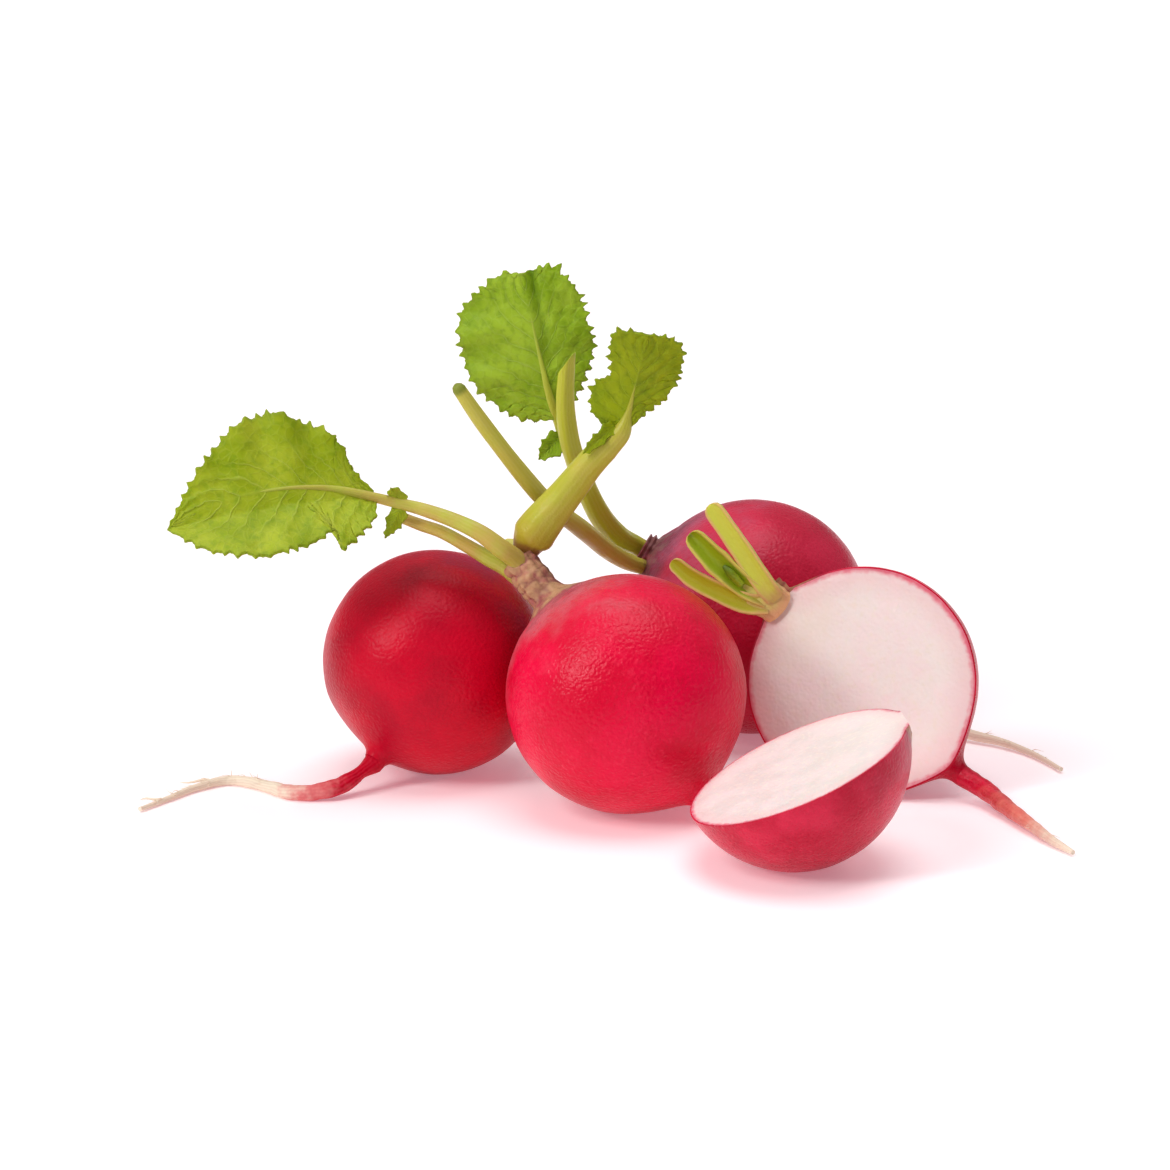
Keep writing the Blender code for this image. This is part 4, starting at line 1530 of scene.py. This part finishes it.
def leaflet(*shape: object, columns: int = 6, **settings: float) -> Blade:
    """A small blade low on a leaf's stalk.

    Args:
        shape: its base, tip, direction across, outlines, teeth and finish.
        columns: steps from its rib to its edge.
        settings: the rest of its sizes.

    Returns:
        The blade.
    """
    return Blade(*shape, pillow=0.05, columns=columns, samples=12, **settings)


@dataclass
class Leaf:
    """A leaf: its blade, its leaflets and the stalk that runs on into the blade as its rib."""

    name: str
    blade: Blade
    petiole: tuple[Place, ...]
    radii: tuple[float, ...]
    finish: StalkFinish
    leaflets: tuple[Blade, ...] = ()
    rib_radii: tuple[float, ...] = (0.6, 0.36, 0.2, 0.07)
    groove: float = 0.22
    upper: Place = (0.0, 0.0, 1.0)

    def build(self) -> list[Piece]:
        """Makes the leaf's pieces and lets them stand for its node."""
        rib = [tuple(self.blade.rib(share)) for share in (0.15, 0.35, 0.55, 0.72)]
        stalk = Stalk(
            self.name, (*self.petiole, *rib), (*self.radii, *self.rib_radii), self.finish, StalkEnd.RIB,
            upper=self.upper, groove=self.groove,
        )
        pieces = [settle(stalk.build(), self.name)]
        pieces.append(settle(self.blade.build(self.name + "_blade"), self.name))
        for i, lobe in enumerate(self.leaflets, 1):
            pieces.append(settle(lobe.build(f"{self.name}_leaflet_{i}"), self.name))
        return pieces


# Finishes of the three whole roots, the half and the slice
# Each skin's pale colour round its crown is a painted sheen of light
FRONT_SKIN = SkinFinish(
    "front_skin", painted_sheen=srgb(196, 104, 114), painted_sheen_share=0.9, painted_sheen_reach=0.36, grain=0.11,
    dullness=0.28, shine=0.22,
)
LEFT_SKIN = SkinFinish(
    "left_skin", deep=srgb(176, 0, 34), bright=srgb(200, 0, 38), painted_sheen=srgb(146, 46, 80), painted_sheen_share=0.75,
    painted_sheen_reach=0.36, speckled=0.04, fade=(8.0, 19.0), grain=0.03, dullness=0.34,
)
BACK_SKIN = SkinFinish(
    "back_skin", deep=srgb(180, 20, 52), bright=srgb(196, 34, 66), painted_sheen=srgb(164, 94, 118), painted_sheen_share=0.75,
    painted_sheen_reach=0.42, crown=srgb(140, 92, 92), crown_dark=srgb(104, 48, 66), speckled=0.2, fade=(2.0, 9.0),
)
HALF_SKIN = SkinFinish(
    "half_skin", deep=srgb(180, 6, 40), bright=srgb(214, 14, 54), tail_pink=srgb(236, 132, 116),
    fade=(5.0, 30.0),
)
SLICE_SKIN = SkinFinish("slice_skin", deep=srgb(184, 16, 48), bright=srgb(214, 40, 72))
HALF_FLESH = FleshFinish("half_flesh", white=srgb(242, 231, 225), cream=srgb(234, 224, 204))
SLICE_FLESH = FleshFinish("slice_flesh", white=srgb(230, 219, 216), core=0.25, rim_width=0.6, blush_width=3.0)

LEFT_CENTRE = (-26.2, 17.6, 15.28)
LEFT_RADIUS = 15.5
LEFT_CROWN = (0.56, 0.506, 0.651)
LEFT_KNOB = (2.4, 2.2)

HALF_RADIUS = 15.7
HALF_FACE = Vector((-0.208, -0.945, 0.253)).normalized()
HALF_FACE_CENTRE = Vector((32.0, 6.9, HALF_RADIUS - REST_DEPTH))
HALF_DEPTH = 1.25
HALF_AXIS_ANGLE = 139.6
HALF_TILT = 4.5
HALF_KNOB = (2.6, 2.4)

SLICE_RADIUS = 15.4
SLICE_CENTRE = Vector((21.2, -24.3, SLICE_RADIUS - REST_DEPTH))
SLICE_FACE = Vector((-0.403, -0.022, 0.915)).normalized()
SLICE_DEPTH = 2.1


def half_axis() -> Vector:
    """The half's direction from tail to crown, tipped so that the knife left the tail whole."""
    up = Vector((0.0, 0.0, 1.0))
    up = (up - HALF_FACE * up.dot(HALF_FACE)).normalized()
    right = up.cross(HALF_FACE).normalized()
    angle, tilt = math.radians(HALF_AXIS_ANGLE), math.radians(HALF_TILT)
    level = right * math.cos(angle) + up * math.sin(angle)
    return level * math.cos(tilt) + HALF_FACE * math.sin(tilt)


class Roots:
    """The five roots of the bunch."""

    def front(self) -> Root:
        """The whole root in front; its tail lies behind the slice."""
        return Root(
            "front_radish", (0.0, 0.0, 15.88), 16.1, (-0.586, 0.397, 0.707), (2.45, 7.1), FRONT_SKIN,
            ((13.0, -7.6, 2.0), (17.5, -7.9, 1.0), (22.0, -6.6, 0.8), (27.0, -4.0, 0.6)),
            lean=(-0.9, 0.0, -0.2), rough=0.32, ringed=0.55, seed=0.3,
        )

    def left(self) -> Root:
        """The whole root on the left, with its long curling tail."""
        return Root(
            "left_radish", LEFT_CENTRE, LEFT_RADIUS, LEFT_CROWN, LEFT_KNOB, LEFT_SKIN,
            (
                (-38.2, 4.2, 2.0), (-41.6, 2.8, 1.35), (-45.8, 3.6, 1.1), (-50.2, 7.6, 1.0),
                (-54.4, 9.6, 0.9), (-58.4, 7.0, 0.75), (-62.0, 2.2, 0.6), (-65.4, -2.6, 0.5),
            ),
            tail_lean=(1.9, -0.2, 0.1), pinch=0.34, seed=1.7,
        )

    def back(self) -> Root:
        """The whole root at the back, purple at its crown."""
        return Root(
            "back_radish", (18.3, 37.2, 16.38), 16.6, (-0.86, 0.132, 0.493), (2.9, 1.9), BACK_SKIN,
            (
                (39.4, 34.2, 3.9), (43.6, 32.8, 2.1), (48.2, 30.4, 1.4), (53.0, 27.2, 1.15),
                (56.4, 23.4, 0.9), (58.6, 19.4, 0.75), (60.4, 15.0, 0.6),
            ),
            taper=1.4, seed=2.9,
        )

    def half(self) -> CutRoot:
        """The half, with its cut face to the viewer."""
        centre = HALF_FACE_CENTRE - HALF_FACE * HALF_DEPTH
        return CutRoot(
            "half_radish", tuple(centre), HALF_RADIUS, tuple(half_axis()), HALF_KNOB, HALF_SKIN,
            (
                (48.6, 0.4, 2.2), (51.4, -6.0, 1.5), (53.8, -12.0, 1.2), (56.0, -17.2, 0.85),
                (58.2, -21.4, 0.6),
            ),
            taper=0.85, rough=0.02, pleat=0.0, ringed=0.3, seed=4.1,
            knife=Knife(HALF_FACE_CENTRE, HALF_FACE), flesh=HALF_FLESH,
        )

    def slice(self) -> CutRoot:
        """The slice, lying on its skin, trimmed at both ends."""
        knife = Knife(SLICE_CENTRE - SLICE_FACE * SLICE_DEPTH, SLICE_FACE)
        return CutRoot(
            "slice_radish", tuple(SLICE_CENTRE), SLICE_RADIUS, (0.909, 0.108, 0.403), (2.6, 1.5), SLICE_SKIN,
            seed=5.3, knife=knife, flesh=SLICE_FLESH, trim=15.1,
        )

    def hairs(self, root: Root) -> Piece:
        """The side roots on a root's tail; the left tail has the most, and forks at its tip.

        Args:
            root: the root.

        Returns:
            The object.
        """
        name = root.name + "_hairs"
        if root.name == "left_radish":
            forks = (
                ((-62.4, 1.6, 0.6), (-63.6, 1.2, 0.6), (-65.0, 1.9, 0.6), (-65.9, 1.4, 0.45)),
                ((-56.4, 8.6, 0.9), (-57.8, 9.2, 0.9), (-59.6, 8.6, 0.7), (-61.2, 8.9, 0.6)),
            )
            return Hairs(name, root.route, (0.42, 0.97), 34, forks=forks, seed=11).build(root.finish)
        count = 10 if root.name == "back_radish" else 6
        hairs = Hairs(name, root.route, (0.35, 0.95), count, (0.8, 2.2), seed=len(root.name))
        return hairs.build(root.finish)

    def build(self) -> None:
        """Makes all five, and lets them stand for their nodes."""
        for root in (self.front(), self.left(), self.back()):
            settle(root.build(), root.name)
            settle(self.hairs(root), root.name)
        for root in (self.half(), self.slice()):
            skin, flesh = root.build_cut()
            settle(skin, root.name)
            settle(flesh, root.name)
            if root.route:
                settle(self.hairs(root), root.name)


# Finishes of the leaves and stalks
LEFT_GREEN = LeafFinish(
    "left_leaf_green", green=srgb(140, 158, 10), light=srgb(168, 180, 40), vein=srgb(186, 196, 80), veins=9.0
)
UPRIGHT_GREEN = LeafFinish(
    "upright_leaf_green", green=srgb(128, 160, 14), light=srgb(156, 184, 44), shade=srgb(92, 124, 6),
    vein=srgb(174, 196, 88), veins=9.0,
)
RIGHT_GREEN = LeafFinish(
    "right_leaf_green", green=srgb(124, 142, 2), light=srgb(148, 160, 6), shade=srgb(88, 110, 0),
    vein=srgb(156, 172, 50),
)
FRONT_STALK = StalkFinish("front_stalk", tan=srgb(196, 150, 84), tan_share=0.7, foot=srgb(200, 158, 118))
LEAF_STALK = replace(FRONT_STALK, name="leaf_stalk", tip=srgb(172, 184, 60), tip_reach=26.0)
THICK_STALK = StalkFinish(
    "thick_stalk", green=srgb(172, 178, 44), light=srgb(200, 192, 96), tan=srgb(200, 170, 84), tan_share=0.45,
    foot=srgb(150, 100, 54), foot_reach=(2.9, 1.7), foot_wander=0.6, warm_share=0.6, tip=srgb(140, 154, 10),
    tip_reach=12.0,
)
BACK_STALK = StalkFinish(
    "back_stalk", green=srgb(186, 192, 44), light=srgb(208, 210, 94), tan_share=0.2, foot=srgb(178, 136, 84),
    foot_reach=(3.4, 0.4), tip=srgb(150, 168, 40),
)
UPRIGHT_STALK = replace(BACK_STALK, name="upright_stalk", tip=srgb(160, 184, 60), tip_reach=20.0)
LONG_STALK = StalkFinish(
    "long_stalk", green=srgb(186, 186, 60), tan=srgb(206, 174, 96), tan_share=0.35, foot=srgb(134, 84, 72),
    foot_reach=(4.4, 1.0), tip=srgb(104, 120, 30),
)
SHORT_STALK = StalkFinish(
    "short_stalk", green=srgb(198, 192, 92), light=srgb(216, 208, 124), foot=srgb(196, 146, 96),
    foot_reach=(4.2, -1.4), foot_wander=0.8, tan_share=0.2, inside=srgb(204, 208, 70),
    rim=srgb(226, 180, 112), tip=srgb(214, 196, 104), tip_reach=0.3,
)
LOW_SHORT_STALK = replace(SHORT_STALK, name="low_short_stalk", inside=srgb(178, 178, 30))
MIDDLE_SHORT_STALK = replace(
    SHORT_STALK, name="middle_short_stalk", inside=srgb(148, 172, 12), rim=srgb(212, 200, 92)
)
BUD_STALK = replace(
    SHORT_STALK, name="bud_stalk", green=srgb(118, 144, 8), light=srgb(140, 164, 24), foot=srgb(150, 168, 24),
    tip=srgb(74, 102, 4), tip_reach=2.4,
)
STUMP_STALK = replace(
    SHORT_STALK, name="stump_stalk", inside=srgb(206, 204, 104), rim=srgb(216, 196, 110),
    foot=srgb(224, 160, 122), foot_reach=(4.0, 0.4), tip=srgb(202, 202, 96), tip_reach=1.2,
)


class Tops:
    """The leaves and the cut stalks of the bunch."""

    def left_leaf(self) -> Leaf:
        """The leaf that hangs to the left over the left radish."""
        blade = Blade(
            base=(-33.9, 10.0, 40.6),
            tip=(-61.1, 0.0, 38.6),
            across=(-0.28, 0.63, 0.73),
            left=((0, 1), (2.2, 3.8), (3.2, 7), (5.6, 10), (9.6, 11.6), (13, 12.8), (17.8, 11.2), (21, 8.8),
                  (24.4, 5.6), (29, 0)),
            right=((0, -1), (1.4, -4), (4.2, -6.4), (7.3, -8.6), (7.4, -6.3), (7.7, -4.4), (8.9, -6.0),
                   (13, -7.4), (18, -7.8), (24.5, -5.2), (29, 0)),
            teeth=21, tooth=0.66, samples=10, finish=LEFT_GREEN, sway=2.4,
        )
        leaflets = (
            leaflet(
                (-30.0, 9.8, 39.6), (-31.7, 8.6, 42.2), (-0.75, 0.1, -0.6),
                ((0, 0.5), (1, 1.1), (2.2, 0.9), (3.3, 0)), ((0, -0.5), (1, -1), (2.2, -0.7), (3.3, 0)),
                2, LEFT_GREEN, tooth=0.3, arch=0.3,
            ),
            leaflet(
                (-30.2, 9.7, 39.4), (-32.5, 7.6, 35.4), (0.85, -0.1, -0.5),
                ((0, 0.6), (1.4, 1.2), (3, 0.9), (5, 0)), ((0, -0.6), (1.4, -1.1), (3, -0.8), (5, 0)),
                3, LEFT_GREEN, tooth=0.35, arch=0.4,
            ),
        )
        petiole = (
            (-12.9, 9.0, 29.6), (-14.7, 7.9, 32.5), (-16.9, 6.8, 34.5), (-19.6, 7.2, 36.4),
            (-23.0, 8.4, 37.8), (-26.4, 9.4, 38.8), (-29.8, 10.0, 39.6),
        )
        radii = (1.2, 1.5, 1.42, 1.25, 1.1, 0.98, 0.86)
        return Leaf("left_leaf", blade, petiole, radii, LEAF_STALK, leaflets)

    def upright_leaf(self) -> Leaf:
        """The leaf that stands up behind the split stalk."""
        blade = Blade(
            base=(-9.5, 30.5, 46.8),
            tip=(-14.4, 32.5, 67.9),
            across=(-0.96, 0.13, -0.23),
            left=((0, 0.5), (1, 5), (4.5, 9), (9, 10.9), (14, 10.9), (17.3, 9.8), (19.6, 6.5), (21.2, 3),
                  (20.7, 0)),
            right=((0, -0.5), (2.5, -3.3), (5.5, -5.7), (9, -7.4), (12.5, -7.4), (16.5, -7), (19.2, -5.6),
                   (20.9, -4), (20.7, 0)),
            teeth=19, tooth=0.78, samples=11, finish=UPRIGHT_GREEN, fold=0.22, arch=-1.2,
            creases=(Crease((21.5, -1.2), (8.0, -1.2), 0.9, 0.85),), seed=3.0,
        )
        lobe = leaflet(
            (-8.7, 31.4, 44.2), (-12.0, 30.0, 41.0), (-0.7, 0.1, 0.7),
            ((0, 0.9), (1.4, 1.5), (3.2, 1.2), (4.8, 0)), ((0, -1.2), (1.2, -1.7), (3, -1.3), (4.8, 0)),
            3, UPRIGHT_GREEN, tooth=0.4, arch=0.4, columns=8,
        )
        petiole = (
            (3.8, 41.8, 23.2), (0.4, 43.2, 25.2), (-2.6, 40.4, 29.4), (-5.2, 36.4, 34.4), (-7.4, 33.0, 40.3),
        )
        return Leaf("upright_leaf", blade, petiole, (1.0, 1.05, 1.05, 1.0, 0.9), UPRIGHT_STALK, (lobe,))

    def right_leaf(self) -> Leaf:
        """The small leaf on the thick stalk."""
        blade = Blade(
            base=(-0.2, 7.0, 50.9),
            tip=(2.8, 4.4, 64.0),
            across=(-0.97, 0.07, 0.25),
            left=((0, 1), (0.2, 4.3), (3, 5.6), (5, 4.9), (6.2, 3.6), (9.5, 4.4), (12.5, 4.4), (13.6, 2),
                  (13.8, 0)),
            right=((0.5, -1), (3, -2.6), (5.5, -4.6), (8.5, -5.3), (12, -5.1), (13.5, -4), (14, -2),
                   (13.8, 0)),
            teeth=14, tooth=0.62, samples=11, finish=RIGHT_GREEN, fold=0.2, arch=1.2, seed=6.0,
        )
        lobe = leaflet(
            (-1.6, 6.9, 51.2), (-5.8, 5.8, 47.6), (-0.7, 0.1, 0.7),
            ((0, 0.9), (2, 0.9), (4, 0.7), (5.7, 0)), ((0, -0.7), (2, -0.7), (4, -0.6), (5.7, 0)),
            3, RIGHT_GREEN, tooth=0.35, arch=0.5,
        )
        petiole = (
            (-13.9, 10.0, 32.2), (-13.2, 10.2, 34.0), (-12.5, 10.1, 35.2), (-11.0, 9.8, 37.4),
            (-8.1, 9.0, 41.2), (-5.3, 8.2, 45.1), (-2.8, 7.6, 48.0), (-0.6, 7.2, 50.3),
        )
        return Leaf(
            "right_leaf", blade, petiole, (1.4, 2.2, 2.95, 2.7, 2.25, 2.0, 1.9, 1.3), THICK_STALK, (lobe,),
            rib_radii=(0.42, 0.22, 0.13, 0.05), upper=(0.3, -1.0, 0.0), groove=0.12,
        )

    def lower_stalk(self) -> Stalk:
        """The cut stalk under the left leaf's."""
        return Stalk(
            "lower_stalk",
            ((-12.2, 9.0, 28.6), (-14.4, 9.3, 29.7), (-16.4, 9.6, 31.1), (-18.7, 9.7, 32.3),
             (-21.8, 10.0, 34.1), (-25.1, 10.8, 35.7), (-27.9, 11.4, 36.5), (-30.3, 12.0, 37.3)),
            (1.1, 1.35, 1.25, 1.1, 1.0, 0.92, 0.88, 0.82),
            FRONT_STALK,
        )

    def long_stalk(self) -> Stalk:
        """The long cut stalk that crosses behind the thick one."""
        return Stalk(
            "long_stalk",
            ((4.4, 38.6, 23.2), (2.4, 37.0, 24.0), (0.1, 33.5, 25.7), (-2.7, 28.5, 28.8), (-6.2, 22.0, 33.4),
             (-8.9, 18.5, 36.4), (-11.4, 16.0, 39.2), (-15.4, 13.0, 44.9), (-19.5, 10.6, 51.1),
             (-22.4, 9.2, 55.8)),
            (1.1, 1.25, 1.3, 1.35, 1.35, 1.3, 1.25, 1.2, 1.12, 0.95),
            LONG_STALK,
            StalkEnd.ROUND,
            seed=2.0,
        )

    def split_stalk(self) -> Piece:
        """The thick stalk in front of the upright leaf, cut aslant at its top."""
        stalk = Stalk(
            "split_stalk",
            ((4.2, 40.0, 24.8), (1.6, 39.4, 26.4), (-1.0, 35.6, 28.7), (-3.4, 31.4, 32.7), (-5.2, 28.8, 37.0),
             (-7.0, 27.6, 42.0), (-7.9, 27.2, 46.0), (-8.2, 27.0, 51.0), (-7.8, 27.0, 57.0)),
            (1.25, 1.4, 1.65, 1.6, 1.5, 1.42, 1.38, 1.25, 1.0),
            BACK_STALK,
            upper=(0.2, -1.0, 0.0),
            seed=4.0,
        )
        bm = new_draft(STALK_MARKS)
        stalk.pour(bm)
        geometry = [*bm.verts, *bm.edges, *bm.faces]
        bmesh.ops.bisect_plane(
            bm, geom=geometry, plane_co=to_row(Vector((-7.4, 27.0, 56.4))), plane_no=(-0.80, 0.1, 0.60),
            clear_outer=True,
        )
        welded(bm)
        bmesh.ops.holes_fill(bm, edges=[e for e in bm.edges if e.is_boundary], sides=0)
        return made_piece(bm, "split_stalk_peel", stalk.finish.material())

    def half_stalks(self) -> list[Piece]:
        """The fan of stalks on the half, each cut flat by the knife, and the young bud between them."""
        fan = (
            ("stump", ((20.9, 11.9, 24.7), (18.9, 11.7, 26.2), (16.8, 11.8, 27.6)),
             (2.5, 2.6, 1.9), 0.0, STUMP_STALK),
            ("low", ((19.3, 11.0, 25.3), (16.2, 10.9, 25.6), (12.2, 11.5, 27.2), (9.0, 12.2, 28.8),
                     (6.9, 12.8, 30.4)),
             (1.4, 1.5, 1.4, 1.3, 1.05), 0.35, LOW_SHORT_STALK),
            ("middle", ((19.3, 11.0, 26.0), (16.2, 10.9, 27.9), (12.3, 11.5, 31.3), (9.5, 12.4, 34.1)),
             (1.3, 1.6, 1.85, 1.45), 0.7, MIDDLE_SHORT_STALK),
            ("long", ((20.3, 10.9, 26.4), (18.7, 10.8, 28.4), (15.3, 11.7, 33.4), (12.0, 12.8, 38.0)),
             (1.4, 1.5, 1.45, 1.35), 0.2, SHORT_STALK),
        )
        pieces = []
        for name, places, radii, trough, finish in fan:
            stalk = Stalk(
                "half_stalks_" + name, places, radii, finish, StalkEnd.ROUND, pressed=HALF_FACE, groove=0.0,
                trough=trough, seed=len(pieces),
            )
            pieces.append(stalk.build())
        bud = Stalk(
            "half_stalks_bud", ((15.8, 10.9, 28.2), (14.3, 10.9, 29.8), (13.5, 11.1, 30.6)), (0.6, 0.75, 0.4),
            BUD_STALK, StalkEnd.ROUND, seed=9.0,
        )
        return [*pieces, bud.build()]

    def left_stubs(self) -> Piece:
        """Stubs of the stalks that were cut off the left radish."""
        foot = tuple(Vector(LEFT_CENTRE) + Vector(LEFT_CROWN) * (LEFT_RADIUS + 0.7 * LEFT_KNOB[1]))
        bm = new_draft(STALK_MARKS)
        for i, end in enumerate(((-13.2, 28.4, 29.2), (-13.4, 31.0, 28.2), (-15.8, 31.0, 28.8))):
            Stalk("left_stubs", (foot, end), (1.25, 1.05), SHORT_STALK, seed=i).pour(bm)
        return made_piece(welded(bm), "left_stubs_peel", SHORT_STALK.material())

    def build(self) -> None:
        """Makes all leaves and stalks, and lets them stand for their nodes."""
        for leaf in (self.left_leaf(), self.upright_leaf(), self.right_leaf()):
            leaf.build()
        for stalk in (self.lower_stalk(), self.long_stalk()):
            settle(stalk.build(), stalk.name)
        settle(self.split_stalk(), "split_stalk")
        for piece in self.half_stalks():
            settle(piece, "half_stalks")
        settle(self.left_stubs(), "left_stubs")


@dataclass
class Light:
    """A broad, even light from one side: where it comes from, how wide it looks and how strong it is."""

    name: str
    side: Place
    spread: float
    strength: float


@dataclass
class Studio:
    """A white table that glows faintly pink, painted light in place of the red light thrown on it by the
    roots, in a room that is brighter above, and the camera at the photograph's angle.

    The room is darker on the camera's side, by near_share.
    """

    camera_place: Place = (-0.00301, -0.58305, 0.1853)
    camera_tilt: float = 75.0
    focal_length: float = 137.54
    sensor: float = 36.0
    low_sky: float = 0.21
    high_sky: float = 0.55
    near_share: float = 0.3
    table_size: float = 8.0
    table_white: Colour = (0.93, 0.93, 0.93)
    # The table's faint pink glow is painted light: it lightens and reddens the shadows on the table in place
    # of the red light that the roots throw on it
    painted_table_glow: float = 0.26
    painted_glow_colour: Colour = (1.0, 0.6, 0.72)
    lights: tuple[Light, ...] = (
        Light("key", (-0.55, -0.42, 0.72), 20.0, 0.85),
        Light("low", (-0.757, -0.443, 0.48), 13.0, 0.95),
        Light("fill", (0.1, -0.95, 0.30), 30.0, 0.2),
        Light("top", (0.02, 0.05, 1.0), 40.0, 1.4),
    )

    def camera(self) -> None:
        """Places the camera."""
        data = bpy.data.cameras.new("camera")
        data.sensor_width = self.sensor
        data.lens = self.focal_length
        data.clip_start = 0.01
        camera = bpy.data.objects.new("camera", data)
        camera.location = self.camera_place
        camera.rotation_euler = (math.radians(self.camera_tilt), 0.0, 0.0)
        bpy.context.scene.collection.objects.link(camera)
        bpy.context.scene.camera = camera

    def table(self) -> None:
        """Lays the white table top, which glows faintly pink as painted light."""
        glow = (*self.painted_glow_colour, 1.0)
        material, net, shader = new_finish(
            "table_white", 0.4, Emission_Strength=self.painted_table_glow, Emission_Color=glow
        )
        cloud = net.rise(net.noise(60.0, 2.0), 0.3, 0.7)
        net.feed(shader.inputs["Base Color"], net.mix(cloud, self.table_white, (0.94, 0.94, 0.94)))
        bm = bmesh.new()
        bmesh.ops.create_grid(bm, x_segments=1, y_segments=1, size=self.table_size / 2)
        made_piece(bm, "table", material)

    def light(self) -> None:
        """Hangs the lights and whitens the room."""
        world = bpy.data.worlds.new("room")
        world.use_nodes = True
        net, room = Net(world.node_tree), world.node_tree.nodes["Background"]
        parts = net.node("SeparateXYZ")
        net.feed(parts.inputs[0], net.node("TexCoord").outputs["Generated"])
        net.feed(room.inputs[0], (1.0, 1.0, 1.0, 1.0))
        height = net.rise(parts.outputs[2], 0.15, 0.9, self.low_sky, self.high_sky)
        depth = net.rise(parts.outputs[1], -0.95, 0.1, self.near_share, 1.0)
        net.feed(room.inputs[1], net.times(height, depth))
        bpy.context.scene.world = world
        for given in self.lights:
            data = bpy.data.lights.new(given.name, "SUN")
            data.energy = given.strength
            data.angle = math.radians(given.spread)
            lamp = bpy.data.objects.new(given.name, data)
            lamp.location = given.side
            lamp.rotation_euler = (-Vector(given.side)).to_track_quat("-Z", "Y").to_euler()
            bpy.context.scene.collection.objects.link(lamp)

    def build(self) -> None:
        """Sets up the whole studio."""
        self.camera()
        self.table()
        self.light()
        bpy.context.scene.view_settings.view_transform = "Standard"


def main() -> None:
    """Builds the studio, the roots and their tops."""
    logging.basicConfig(level=logging.INFO, format="%(name)s: %(message)s")
    noise.seed_set(NOISE_SEED)
    Studio().build()
    Roots().build()
    Tops().build()


if __name__ == "__main__":
    main()
